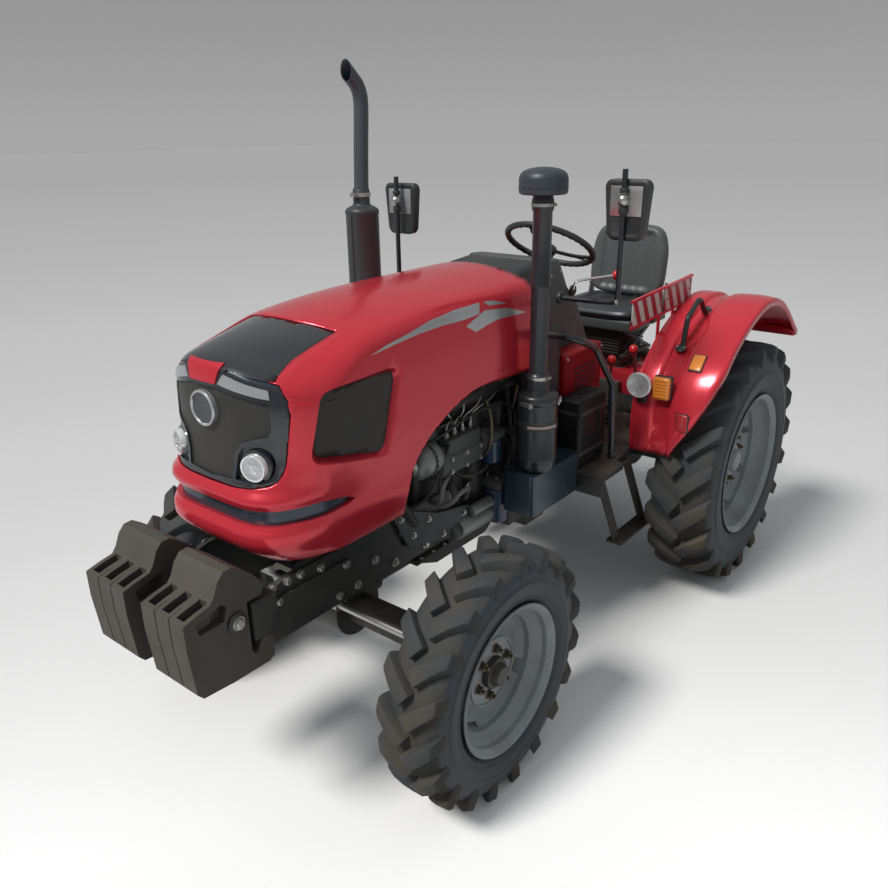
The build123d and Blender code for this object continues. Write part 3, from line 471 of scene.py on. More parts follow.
# columns: colour setting or colour, roughness clean and dusty, dust amount, low dust, settled dust, grain scale,
# grain depth in millimetres, and where they aren't 0: scuffs, metallic, coat
# the second red below is the body red at about half its brightness, for the side covers under the cowl: painted shade
FINISHES = {"red_paint": ("red", 0.28, 0.5, 0.05, 0.2, 0.1, 260, 0.012, 0.02, 0, 0.05), "red_inner": ((0.26, 0.004,
    0.01), 0.42, 0.6, 0.4, 0.5, 0.5, 200, 0.05, 0.15), "mask_gloss": ("mask", 0.2, 0.42, 0.22, 0.1, 0.3, 300, 0.01, 0,
    0, 0.5), "charcoal": ("plastic", 0.46, 0.66, 0.12, 0.2, 0.3, 900, 0.08), "chassis": ("chassis", 0.38, 0.75, 0.62,
    0.7, 0.55, 320, 0.1, 0.35), "casting": ("casting", 0.5, 0.8, 0.55, 0.6, 0.5, 420, 0.3, 0.2),
    "weight_iron": ("iron", 0.46, 0.82, 1.1, 0.8, 0.1, 260, 0.4, 0.3), "rubber": ("rubber", 0.56, 0.84, 0.14, 0.5,
    0.2, 380, 0.16), "tread": ("rubber", 0.62, 0.88, 0.95, 0.8, 0.1, 240, 0.35), "rim_enamel": ("rim", 0.4, 0.7, 0.42,
    0.5, 0.2, 300, 0.05, 0.25), "black_gloss": ((0.006, 0.007, 0.009), 0.2, 0.45, 0.22, 0.3, 0.3, 300, 0.02, 0, 0,
    0.2), "black_tube": ((0.012, 0.015, 0.02), 0.26, 0.55, 0.28, 0.3, 0.3, 300, 0.02, 0.15), "exhaust_paint": ((0.03,
    0.034, 0.038), 0.42, 0.66, 0.3, 0.2, 0.3, 340, 0.1, 0.2), "pipe_paint": ((0.05, 0.068, 0.085), 0.36, 0.6, 0.22,
    0.1, 0.2, 340, 0.06, 0.15), "mirror_panel": ((0.24, 0.26, 0.27), 0.5, 0.6, 0.2, 0.1, 0.2, 500, 0.03),
    "console_plastic": ((0.06, 0.072, 0.07), 0.46, 0.7, 0.25, 0.25, 0.35, 900, 0.08), "tank_plastic": ((0.006, 0.007,
    0.009), 0.4, 0.6, 0.2, 0.25, 0.3, 500, 0.05), "tread_plate": ((0.06, 0.062, 0.058), 0.45, 0.75, 0.5, 0.3, 0.5,
    400, 0.12, 0.3, 0.2), "steel": ("steel", 0.34, 0.6, 0.4, 0.5, 0.4, 300, 0.04, 0, 1), "chrome": ((0.75, 0.76,
    0.77), 0.1, 0.3, 0.1, 0.1, 0.1, 300, 0.005, 0, 1), "zinc": ((0.13, 0.105, 0.07), 0.42, 0.7, 0.5, 0.5, 0.2, 300,
    0.05, 0, 0.8), "hose": ((0.012, 0.012, 0.013), 0.5, 0.75, 0.5, 0.6, 0.5, 500, 0.06), "grey_hose": ((0.2, 0.2,
    0.19), 0.45, 0.7, 0.35, 0.3, 0.4, 400, 0.05), "filter_blue": ((0.02, 0.05, 0.11), 0.32, 0.6, 0.35, 0.3, 0.4, 300,
    0.03, 0.1, 0, 0.2), "red_knob": ((0.55, 0.01, 0.012), 0.28, 0.5, 0.1, 0.1, 0.2, 300, 0.01, 0, 0, 0.3),
    "white_paint": ((0.62, 0.6, 0.57), 0.4, 0.6, 0.3, 0.2, 0.2, 300, 0.03, 0.25), "silver_trim": ((0.46, 0.47, 0.48),
    0.24, 0.5, 0.12, 0.2, 0.1, 400, 0.01, 0.1, 0.6, 0.2), "mirror_glass": ((0.55, 0.58, 0.6), 0.06, 0.3, 0.1, 0, 0.1,
    300, 0.002, 0, 1), "amber": ("amber", 0.22, 0.45, 0.1, 0.1, 0.1, 300, 0.02, 0, 0, 0.4), "red_lens": ((0.42, 0.02,
    0.03), 0.2, 0.45, 0.1, 0.1, 0.1, 300, 0.02, 0, 0, 0.4), "lamp_shell": ((0.84, 0.85, 0.85), 0.16, 0.34, 0.12, 0.1,
    0.1, 300, 0.004, 0, 0.35, 0.2), "label_blank": ((0.3, 0.28, 0.24), 0.4, 0.6, 0.35, 0.2, 0.2, 300, 0.02, 0.2),
    "cap_plastic": ((0.03, 0.042, 0.055), 0.4, 0.62, 0.25, 0.1, 0.35, 600, 0.06), "engine_paint": ((0.014, 0.016,
    0.018), 0.46, 0.78, 0.5, 0.45, 0.5, 420, 0.25, 0.25), "alloy": ((0.3, 0.31, 0.31), 0.48, 0.75, 0.55, 0.5, 0.4,
    500, 0.25, 0, 0.7), "plate_grey": ((0.055, 0.062, 0.07), 0.45, 0.78, 0.6, 0.6, 0.4, 320, 0.15, 0.3),
    "fan_plastic": ((0.045, 0.045, 0.045), 0.45, 0.7, 0.4, 0.4, 0.4, 400, 0.05), "vent_mesh": ((0.02, 0.021, 0.021),
    0.45, 0.75, 0.75, 0.25, 0.25, 700, 0.1), "vinyl": ("vinyl", 0.42, 0.66, 0.3, 0, 0.35, 700, 0.12),
    "vinyl_dark": ((0.018, 0.024, 0.034), 0.34, 0.6, 0.25, 0, 0.35, 700, 0.12)}

# strength of the plain reflection, where it isn't the usual half
REFLECTIONS = {"red_paint": 0.04, "red_inner": 0.1, "tank_plastic": 0.2, "tread": 0.25, "rubber": 0.35,
    "fine_mesh": 0.3, "weight_iron": 0.4}


def finish(name):
    """The material of a finish, made the first time it is asked for."""
    material = bpy.data.materials.get(name)
    if not material:
        material = bpy.data.materials.new(name)
        material.use_nodes = True
        tree = material.node_tree
        SPECIAL_FINISHES.get(name, plain_finish)(tree, tree.nodes["Principled BSDF"], name)
    return material


def soil(tree, shader, clean, amount, scale, low, settled, full, smooth, rough, dust=None):
    """Lays dust over a colour; where it reaches its full depth the surface is rough."""
    grime = place_group(tree, "Grime", Clean=clean, Dust=dust or tuple(finishes().dust), Amount=amount, Scale=scale,
        Low=low, Settled=settled)
    feed(tree, shader, {"Roughness": spread(tree, grime["Mask"], 0.0, full, smooth, rough)})
    return grime["Color"]


def emboss(tree, shader, height, depth, **settings):
    bump = add_node(tree, "Bump", {"Distance": depth / 1000, "Height": height}, **settings)
    feed(tree, shader, {"Normal": bump.outputs["Normal"]})


def plain_finish(tree, shader, name):
    colour, clean, dusty, amount, low, settled, scale, depth, scuffs, metallic, coat = (*FINISHES[name], 0, 0, 0)[:11]
    if isinstance(colour, str):
        colour = tuple(getattr(finishes(), colour))
    surface = soil(tree, shader, colour, amount, 7.0, low, settled, 0.6, clean, dusty)
    if scuffs:
        worn = place_group(tree, "Scuffs", Scale=34.0, Amount=scuffs)["Mask"]
        surface = blend(tree, "MIX", worn, surface, tuple(0.5 * channel + 0.08 for channel in colour))
    feed(tree, shader, {"Metallic": metallic, "Coat Weight": coat, "Coat Roughness": 0.06, "Base Color": surface,
        "Specular IOR Level": REFLECTIONS.get(name, 0.5)})
    emboss(tree, shader, place_group(tree, "Grain", Scale=scale, Waves=14.0, Share=0.45)["Height"], depth)


def lamp_glass(tree, shader, name):
    """Clear glass with upright flutes."""
    place = add_node(tree, "TexCoord").outputs["Object"]
    lines = add_node(tree, "TexWave", {"Scale": 60.0, "Vector": place}, bands_direction="X")
    emboss(tree, shader, lines.outputs["Fac"], 1.2)
    surface = soil(tree, shader, (0.9, 0.93, 0.95), 0.12, 9.0, 0.2, 0.2, 0.5, 0.05, 0.4)
    feed(tree, shader, {"Transmission Weight": 0.85, "IOR": 1.47, "Base Color": surface})


def fine_mesh(tree, shader, name):
    """Punched holes in rows, over the height and over the width or length of the panel."""
    place = axes(tree)
    across = maths(tree, "SINE", times(tree, maths(tree, "ADD", place["X"], place["Y"]), 900.0))
    upward = maths(tree, "SINE", times(tree, place["Z"], 900.0))
    holes = spread(tree, times(tree, across, upward), -0.15, 0.35)
    colours = blend(tree, "MIX", holes, (0.03, 0.031, 0.03), (0.004, 0.004, 0.005))
    surface = soil(tree, shader, colours, 1.15, 5.0, 0.3, 0.2, 0.5, 0.35, 0.75, (0.085, 0.078, 0.062))
    feed(tree, shader, {"Base Color": surface})
    emboss(tree, shader, holes, 1.2, invert=True)


def striped_plate(tree, shader, name):
    """Slanted stripes, red on white, faded and dirty."""
    place = axes(tree)
    slant = maths(tree, "ADD", place["Y"], times(tree, place["Z"], 0.55))
    stripe = spread(tree, maths(tree, "FRACT", times(tree, slant, 13.0)), 0.49, 0.51)
    colours = blend(tree, "MIX", stripe, (0.6, 0.58, 0.55), (0.36, 0.012, 0.025))
    feed(tree, shader, {"Base Color": soil(tree, shader, colours, 0.55, 16.0, 0.2, 0.2, 0.5, 0.35, 0.6)})


SPECIAL_FINISHES = {"lamp_glass": lamp_glass, "fine_mesh": fine_mesh, "striped_plate": striped_plate}


# ---------- stage
# columns: distance from the camera's foot in metres, grey of the floor
FLOOR_TONES = ((2.1, 1.0), (2.55, 0.915), (3.0, 0.815), (3.6, 0.73), (4.2, 0.665), (5.0, 0.614), (7.1, 0.54), (11.8,
    0.464), (17.2, 0.417), (30.9, 0.381), (40.0, 0.37))
FLOOR_REACH = 40.0
CAMERA_PLACE = (1.8121, -2.6115, 1.9959)
CAMERA_YAW = 0.6758
CAMERA_PITCH = 0.3732
CAMERA_ROLL = -0.0158
CAMERA_LENS = 32.713
FLOOR_BOUNCE = 0.3
KEY_FROM = (-0.25, -1.0, 1.3)


def grey_ramp(tree, value, tones):
    """Greys along a value from 0 to 1."""
    ramp = add_node(tree, "ValToRGB", {"Fac": value})
    stops = ramp.color_ramp.elements
    for number, (place, tone) in enumerate(tones):
        stop = stops[number] if number < 2 else stops.new(place)
        stop.position = place
        stop.color = (tone, tone, tone, 1.0)
    return ramp.outputs["Color"]


def seen_directly(tree):
    """1 for what the camera, mirrors and glass see, 0 for the light that an object gets back."""
    rays = add_node(tree, "LightPath").outputs
    seen = maths(tree, "MAXIMUM", rays["Is Camera Ray"], rays["Is Glossy Ray"])
    return maths(tree, "MAXIMUM", seen, rays["Is Transmission Ray"])


def floor_material():
    material = bpy.data.materials.new("floor_paper")
    material.use_nodes = True
    tree = material.node_tree
    place = add_node(tree, "TexCoord").outputs["Object"]
    foot = (CAMERA_PLACE[0], CAMERA_PLACE[1], 0.0)
    away = add_node(tree, "VectorMath", {0: place, 1: foot}, operation="DISTANCE").outputs["Value"]
    tones = [(distance / FLOOR_REACH, tone) for distance, tone in FLOOR_TONES]
    paper = grey_ramp(tree, spread(tree, away, 0.0, FLOOR_REACH), tones)
    colour = blend(tree, "MIX", seen_directly(tree), (FLOOR_BOUNCE,) * 3, paper)
    feed(tree, tree.nodes["Principled BSDF"], {"Roughness": 0.9, "Specular IOR Level": 0.1, "Base Color": colour})
    return material


class TRACTOR_OT_stage(bpy.types.Operator):
    """Adds the pale floor, the soft studio light, the backdrop tone and the camera"""

    bl_idname = "tractor.stage"
    bl_label = "Stage, light and camera"

    def execute(self, context):
        bm = bmesh.new()
        bmesh.ops.create_grid(bm, x_segments=2, y_segments=2, size=90.0)
        mesh = bpy.data.meshes.new("floor")
        bm.to_mesh(mesh)
        bm.free()
        mesh.materials.append(floor_material())
        floor = bpy.data.objects.new("floor", mesh)
        context.scene.collection.objects.link(floor)

        self.make_world(context)
        key = bpy.data.lights.new("key", "SUN")
        key.energy = sizes().key_strength
        key.angle = math.radians(15)
        key.color = (1.0, 0.985, 0.96)
        holder = bpy.data.objects.new("key", key)
        holder.matrix_world = aim((-6, -5, 8), KEY_FROM)
        context.scene.collection.objects.link(holder)

        camera = bpy.data.objects.new("camera", bpy.data.cameras.new("camera"))
        camera.data.lens = CAMERA_LENS
        camera.data.clip_end = 300.0
        # a camera looks down its own Z axis: turned to the horizon, lowered, swung round and rolled
        camera.matrix_world = (turned(CAMERA_PLACE, CAMERA_YAW, "Z") @ Matrix.Rotation(math.pi / 2 - CAMERA_PITCH, 4,
            "X") @ Matrix.Rotation(CAMERA_ROLL, 4, "Z"))
        context.scene.collection.objects.link(camera)
        context.scene.camera = camera
        context.scene.view_settings.view_transform = "Standard"
        return {"FINISHED"}

    def make_world(self, context):
        world = bpy.data.worlds.new("studio")
        context.scene.world = world
        world.use_nodes = True
        tree = world.node_tree
        light = tree.nodes["Background"]
        feed(tree, light, {"Color": (0.93, 0.97, 1.0), "Strength": sizes().world_strength})
        # sine of the height above the horizon, grey
        tones = ((0.0, 0.386), (0.07, 0.34), (0.14, 0.3), (0.5, 0.36), (1.0, 0.55))
        backdrop = add_node(tree, "Background", {"Color": grey_ramp(tree, axes(tree, "Generated")["Z"], tones)})
        choice = add_node(tree, "MixShader", {0: seen_directly(tree), 1: light.outputs[0], 2: backdrop.outputs[0]})
        feed(tree, tree.nodes["World Output"], {"Surface": choice.outputs[0]})


# CAD nodes by finish; a node that a piece replaces keeps one too
KEPT_NODES = {"chassis":
    "frame_rails front_axle radiator rear_axle drive_shaft platform knuckle_left knuckle_right lift_arms "
    "lower_link_left lower_link_right drawbar top_link", "casting": "gearbox seat_base engine",
    "steel": "tie_rod lift_rod_left lift_rod_right pto_shaft levers", "black_tube": "handrails air_cleaner",
    "charcoal": "steering_column console mirrors steering_wheel", "black_gloss": "battery_box side_tanks",
    "weight_iron": "front_weights", "lamp_shell": "fender_lamps headlamps", "exhaust_paint": "exhaust",
    "red_paint": "hood_shell fender_left fender_right", "mask_gloss": "hood_nose", "vent_mesh": "hood_screens",
    # the side covers take the darkened red, which is painted shade
    "vinyl_dark": "seat_cushion", "vinyl": "seat_back", "red_inner": "side_covers"}


class TRACTOR_OT_kept_nodes(bpy.types.Operator):
    """Gives the frame, axles, hitch and other plain solids their finishes"""

    bl_idname = "tractor.kept_nodes"
    bl_label = "Frame, axles and hitch"

    def execute(self, context):
        for name, kept in KEPT_NODES.items():
            for node in kept.split():
                holder = nodes[node]
                if not holder.material_slots:
                    holder.data.materials.append(None)
                for slot in holder.material_slots:
                    slot.material = finish(name)
        return {"FINISHED"}


# ---------- wheels
class WheelForm:
    """Sizes of a front or a rear wheel, in millimetres, read from its CAD nodes."""

    def __init__(self, name):
        tyre_low, tyre_high = cad_box(f"tyre_{name}_left")
        rim_low, rim_high = cad_box(f"rim_{name}_left")
        front = self.front = name == "front"
        self.centre = (rim_low + rim_high) / 2
        self.centre.x = (tyre_low.x + tyre_high.x) / 2
        self.radius = self.centre.z - tyre_low.z
        self.half = (tyre_high.x - tyre_low.x) / 2
        self.flange = (rim_high.z - rim_low.z) / 2
        self.rim_half, self.disc_out, lug_deep = (95, 10, 31) if front else (129, 20, 36)
        self.top = self.radius - lug_deep
        self.lugs = sizes().front_lugs if front else sizes().rear_lugs
        # angle that a bar reaches to either side of its middle
        self.reach = math.asin((0.53 * self.half + 13) / self.radius)


def both_ends(profile):
    """A profile's other end, in the order that carries on from this one."""
    return [(radius, -along) for radius, along in reversed(profile)]


def tyre_section(form):
    """Outside of the casing without its lugs: (radius, distance outward), bead to bead."""
    top, half, bead, rim = form.top, form.half, form.flange, form.rim_half
    foot = ((-12, -20), (4, -12), (16, -2), (24, -4), (32, 1))
    # columns: share of the wall's height, share of the half width
    wall = ((0.3, 0.975), (0.46, 0.985), (0.47, 0.998), (0.5, 0.998), (0.51, 0.985), (0.66, 0.965), (0.8, 0.93))
    crown = ((22, 0.88), (8, 0.76), (1, 0.5), (0, 0.22))
    outer = [(bead + up, rim + out) for up, out in foot]
    outer += [(bead + share * (top - bead), half * out) for share, out in wall]
    outer += [(top - down, half * out) for down, out in crown]
    return outer + both_ends(outer)


def add_lug(bm, form, side, angle):
    """One bar of the tread: starts by the middle, runs out over the shoulder and down the wall."""
    half, tip, top = form.half, form.radius, form.top
    # columns: share of the bar's length, place outward, radius of its crown, radius of its root, angle behind
    runs = ((0.0, 0.035, tip - 1, top - 10, 0.0), (0.25, 0.27, tip, top - 12, 0.26), (0.5, 0.55, tip - 1, top - 16,
        0.56), (0.72, 0.82, tip - 5, top - 30, 0.84), (0.86, 0.965, tip - 13, top - 48, 0.97), (0.94, 0.99, tip - 34,
        top - 60, 1.0), (1.0, 0.984, tip - 74, top - 66, 1.02))
    sweep = 0.88 * half / tip
    wide = 26.2 if form.front else 31
    cells = len(runs) - 1
    verts = bmesh.ops.create_grid(bm, x_segments=cells, y_segments=1, size=1.0)["verts"]
    faces = faces_of(verts)
    made = bmesh.ops.extrude_face_region(bm, geom=faces)["geom"]
    crown = set(verts_in(made))
    verts = list(verts) + list(crown)
    for vert in verts:
        share, out, high, root, behind = runs[round((vert.co.x + 1) / 2 * cells)]
        across = wide * (1.0 if vert in crown else 1.28) * (1.0 + 0.1 * share)
        if share == 1.0:
            across *= 0.8
        radius = high if vert in crown else root
        place = side * half * (out if vert in crown or share < 0.7 else out - 0.06)
        # the bar leans, so its width is laid partly round and partly across the tyre
        turn = angle + sweep * behind + vert.co.y * across * 0.8 / tip
        place -= side * vert.co.y * across * 0.55 * (1.0 - share)
        vert.co = Vector((place, -radius * math.cos(turn), radius * math.sin(turn)))
    faces = faces_of(verts)
    paint(faces, 1)
    bmesh.ops.recalc_face_normals(bm, faces=faces)
    edges = list({edge for vert in crown for edge in vert.link_edges if len(edge.link_faces) == 2})
    rim = [edge for edge in edges if edge.calc_face_angle(0.0) > 0.5]
    soften(bm, rim, 3.5)


def tyre_shape(form):
    bm = bmesh.new()
    lathe(bm, tyre_section(form), ORIGIN, X_AXIS, 0, 96)
    paint([face for face in bm.faces if middle_of(face).yz.length > form.top - 16], 1)
    pitch = math.tau / form.lugs
    start = math.tau * 0.75 - form.reach - 0.44 * form.half / form.radius
    for number in range(form.lugs):
        add_lug(bm, form, 1, start + number * pitch)
        add_lug(bm, form, -1, start + (number + 0.5) * pitch)
    return bm


def rim_shape(form):
    """Barrel with its flanges and drop well, a dished disc, and a hub with its bolts."""
    bm = bmesh.new()
    flange, half, out, front = form.flange, form.rim_half, form.disc_out, form.front
    bead = flange - 17
    well = bead - 30
    outside = ((flange - 2, half + 4), (flange + 1, half - 1), (flange - 4, half - 6), (bead, half - 12), (bead - 2,
        half * 0.62), (bead - 10, half * 0.52), (well, half * 0.3))
    inside = ((well - 8, half * 0.32), (bead - 18, half * 0.54), (bead - 9, half * 0.66), (bead - 7, half - 16),
        (flange - 9, half + 1))
    barrel = [*outside, *both_ends(outside), *both_ends(inside), *inside]
    lathe(bm, barrel, ORIGIN, X_AXIS, 0, 96, closed=True)
    edge = well - 10
    # columns: share of the disc's radius, distance outward
    face_side = ((0.56, 6), (0.62, 2), (0.7, -10), (0.86, -20), (0.93, -18), (0.97, -10))
    back_side = ((0.97, -18), (0.93, -26), (0.86, -28), (0.7, -18), (0.6, -6), (0.54, -2))
    disc = [(0, out + 6), (55, out + 6), *((edge * share, out + rise) for share, rise in face_side)]
    disc += [(edge + 4, out + 6), (edge + 4, out - 2), *((edge * share, out + rise) for share, rise in back_side)]
    barrel_faces = set(bm.faces)
    lathe(bm, [*disc, (0, out - 2)], ORIGIN, X_AXIS, 0, 96)
    # gaps between the disc and the barrel
    gaps, reach = (4, 0.13) if front else (8, 0.08)
    holes = []
    for face in set(bm.faces) - barrel_faces:
        place = middle_of(face)
        turn = (math.atan2(place.z, place.y) + 0.6) % (math.tau / gaps)
        if place.yz.length >= edge * 0.9 and turn < 2 * reach:
            holes.append(face)
    bmesh.ops.delete(bm, geom=holes, context="FACES")
    hub, count, ring = (52, 6, 78) if front else (75, 8, 108)
    steps = ((0, 50), (0.55, 50), (0.66, 44), (0.74, 30), (0.96, 27), (1, 21), (1, 0), (0, 0))
    lathe(bm, [(hub * share, out + rise) for share, rise in steps], ORIGIN, X_AXIS, 1, 48)
    for number in range(count):
        turn = math.tau * number / count + 0.3
        place = Vector((out + 6, 0, 0)) + around(turn, ring).zxy
        rod(bm, place, X_AXIS, 16.5, 5, 2, 24, 13.5)
        rod(bm, place, X_AXIS, 12.5, 19, 2, 6, spin=turn, bevel=1.2)
        rod(bm, place, X_AXIS, 6.2, 30, 2, 12, bevel=1)
        if not front:
            bolt(bm, Vector((out + 27, 0, 0)) + around(turn, 46).zxy, X_AXIS, 15, 2)
    # raised ring, and the air valve
    ridge = ((0.565, 5), (0.575, 11), (0.595, 11), (0.61, 2))
    lathe(bm, [(edge * share, out + rise) for share, rise in ridge], ORIGIN, X_AXIS, 0, 96)
    valve = Vector((out - 10, 0, 0)) + around(2.2, (well - 12) * 0.96).zxy
    rod(bm, valve, X_AXIS, 4, 45, 2, 12)
    rod(bm, valve, X_AXIS, 6.5, 18, 3, 12)
    return bm


def make_wheel_pieces(name, shape, piece, finish_names, node, sharp):
    """Puts a copy of a wheel's shape on the left and a mirrored one on the right."""
    form = WheelForm(name)
    for side_name, side in (("left", 1), ("right", -1)):
        bm = shape.copy()
        bmesh.ops.scale(bm, vec=(side, 1, 1), verts=bm.verts)
        bmesh.ops.translate(bm, vec=(side * form.centre.x, form.centre.y, form.centre.z), verts=bm.verts)
        wheel = f"{name}_{side_name}"
        make_piece(f"{piece}_{wheel}", bm, finish_names, f"wheel_{wheel}", [f"{node}_{wheel}"], sharp, unit=MM)
    shape.free()


class TRACTOR_OT_tyres(bpy.types.Operator):
    """Builds the four tyres: ribbed walls and deep bars that run over the shoulders"""

    bl_idname = "tractor.tyres"
    bl_label = "Tyres"

    def execute(self, context):
        for name in ("front", "rear"):
            make_wheel_pieces(name, tyre_shape(WheelForm(name)), "tyre_tread", "rubber tread", "tyre", 40)
        return {"FINISHED"}


class TRACTOR_OT_rims(bpy.types.Operator):
    """Builds the four rims: barrel, dished disc, hub, bolts and valve"""

    bl_idname = "tractor.rims"
    bl_label = "Rims"

    def execute(self, context):
        for name, hub in (("front", "chassis"), ("rear", "rim_enamel")):
            colours = f"rim_enamel {hub} zinc hose"
            make_wheel_pieces(name, rim_shape(WheelForm(name)), "rim_disc", colours, "rim", 30)
        return {"FINISHED"}


# ---------- hood
HOOD_FRONT, HOOD_REAR = -1.4, -0.17
HOOD_LOW, HOOD_HIGH = 0.862, 1.53
HOOD_FOLD = 1.26
SLOT_LOW, SLOT_HIGH = 0.992, 1.038
# columns: place along Y, height of the hood's middle line; drop from the middle to the flank
HOOD_TOP = mm((-1400, 1434), (-1300, 1462), (-1165, 1485), (-970, 1510), (-820, 1521), (-635, 1527), (-170, 1530))
HOOD_DROP = mm((-1400, 92), (-1300, 88), (-1165, 72), (-970, 57), (-635, 50), (-170, 50))
# columns: height, lean of the nose along Y; power of its bow in plan; width of the flanks
NOSE_LEAN = mm((860, 46), (885, 14), (910, -10), (940, -26), (965, -25), (990, -12), (1040, -12), (1056, -21), (1072,
    -18), (1088, -4), (1120, 0), (1295, 4), (1371, 10), (1430, 20), (1530, 52))
NOSE_POWER = ((1.05, 5.0), (1.16, 2.8))
NOSE_BOW = 0.14
HOOD_FLANK = ((0.86, 0.955), (0.895, 0.985), (0.95, 1.0), (1.01, 0.98), (1.09, 0.99), (1.13, 1.0), (1.3, 0.992), (1.4,
    0.962), (1.47, 0.925), (1.53, 0.9))
# front view, as (X, Z), right half from the bottom up or round
MASK_LINE = mm((0, 1088), (100, 1090), (165, 1095), (205, 1103), (224, 1116), (233, 1140), (240, 1200), (248, 1300),
    (240, 1338), (224, 1366), (200, 1396), (186, 1425), (186, 1540))
CAP_LINE = mm((0, -1103), (60, -1098), (115, -1083), (200, -1052))
GRILLE_LINE = mm((0, 1362), (58, 1362), (206, 1330), (208, 1262), (200, 1240), (165, 1232), (125, 1216), (108, 1192),
    (101, 1160), (95, 1112), (0, 1104))
PLATE_LINE = mm((0, 1427), (72, 1427), (54, 1372), (0, 1372))
STRIP_LINE = mm((82, 1401), (200, 1366), (206, 1341), (64, 1374))
BEZEL_LINE = mm((86, 1416), (214, 1381), (214, 1373), (84, 1408))
BAY_LINE = mm((200, 1228), (165, 1220), (132, 1205), (118, 1186), (111, 1160), (105, 1113), (190, 1110), (208, 1120),
    (213, 1140), (214, 1200), (210, 1228))
# side view, as (Y, Z)
VENT_LINE = mm((-1222, 1346), (-896, 1356), (-972, 1086), (-1270, 1152))
SLOT_TIP = mm((-1240, 992), (-1150, 996), (-1117, 1004), (-1160, 1022), (-1240, 1038))
STRIPES = (mm((-1024, 1403), (-948, 1420), (-863, 1432), (-748, 1451), (-624, 1461), (-487, 1463), (-500, 1428),
    (-586, 1424), (-690, 1426), (-804, 1423), (-913, 1414)), mm((-575, 1402), (-525, 1374), (-460, 1386), (-396,
    1393), (-220, 1386), (-343, 1422), (-469, 1434)), mm((-465, 1462), (-413, 1458), (-335, 1436), (-441, 1446)))
RED, MASK, GRILLE, SLOT, STRIP, VENT, PLATE, BEZEL, BAY, STRIPE = range(10)
DROPPED = 10  # the wall round the mask, which the hood panels' own edge stands in for
NOSE_COLOURS = (MASK, GRILLE, STRIP, PLATE, BEZEL, BAY)


def hood_bend(place):
    """Turns a point of the plain hood box into its place on the crowned, raked and bowed hood."""
    x, y, z = place
    if z > HOOD_FOLD:
        z = HOOD_FOLD + (z - HOOD_FOLD) * (mix(HOOD_TOP, y) - HOOD_FOLD) / (HOOD_HIGH - HOOD_FOLD)
    share = abs(x) / sizes().hood_half_width
    moved = y + smooth_step((-0.98 - y) / 0.42) * (NOSE_BOW * share ** mix(NOSE_POWER, z) + mix(NOSE_LEAN, z))
    z -= mix(HOOD_DROP, y) * share ** 2 * smooth_step((z - 1.3) / 0.12)
    return Vector((x * mix(HOOD_FLANK, z), moved, z))


def both_halves(line):
    """A closed outline from its right half, which starts and ends on the middle line."""
    return list(line) + [(-u, v) for u, v in reversed(line) if u > 1e-6]


def rounded(points, radius, steps=5):
    """A closed outline with its corners rounded."""
    points = [Vector(point) for point in points]
    result = []
    for before, corner, after in zip(points[-1:] + points[:-1], points, points[1:] + points[:1]):
        first = corner + (before - corner).normalized() * radius
        last = corner + (after - corner).normalized() * radius
        for step in range(steps + 1):
            share = step / steps
            result.append(tuple(first.lerp(corner, share).lerp(corner.lerp(last, share), share)))
    return result


def within(outline, u, v):
    """True when a point lies inside an outline."""
    inside = False
    for (au, av), (bu, bv) in zip(outline, outline[1:] + outline[:1]):
        if (av > v) != (bv > v) and u < au + (bu - au) * (v - av) / (bv - av):
            inside = not inside
    return inside


def score(bm, outline, view, test, closed=True):
    """Cuts edges along a line drawn in the view along one axis, only in the faces that it crosses."""
    first, second = [axis for axis in range(3) if axis != view]
    outline = list(outline)
    reach = 0.0005
    for a, b in zip(outline, outline[1:] + (outline[:1] if closed else [])):
        low = (min(a[0], b[0]) - reach, min(a[1], b[1]) - reach)
        high = (max(a[0], b[0]) + reach, max(a[1], b[1]) + reach)
        crossed = []
        for face in bm.faces:
            us = [vert.co[first] for vert in face.verts]
            vs = [vert.co[second] for vert in face.verts]
            if max(us) > low[0] and min(us) < high[0] and max(vs) > low[1] and min(vs) < high[1] and test(face):
                crossed.append(face)
        place, normal = Vector(ORIGIN), Vector(ORIGIN)
        place[first], place[second] = a
        normal[first], normal[second] = b[1] - a[1], a[0] - b[0]
        cut(bm, place, normal, crossed, 2e-5)


def sink(bm, faces, depth, wall):
    """Moves a group of faces inward along the surface's own normals, with walls of one colour round them."""
    normals = {tuple(vert.co): vert.normal.copy() for face in faces for vert in face.verts}
    made = bmesh.ops.extrude_face_region(bm, geom=faces)["geom"]
    moved = verts_in(made)
    bmesh.ops.delete(bm, geom=faces, context="FACES_ONLY")
    for vert in moved:
        vert.co -= normals[tuple(vert.co)] * depth
    sunk = {item for item in made if isinstance(item, bmesh.types.BMFace)}
    paint({face for vert in moved for face in vert.link_faces} - sunk, wall)


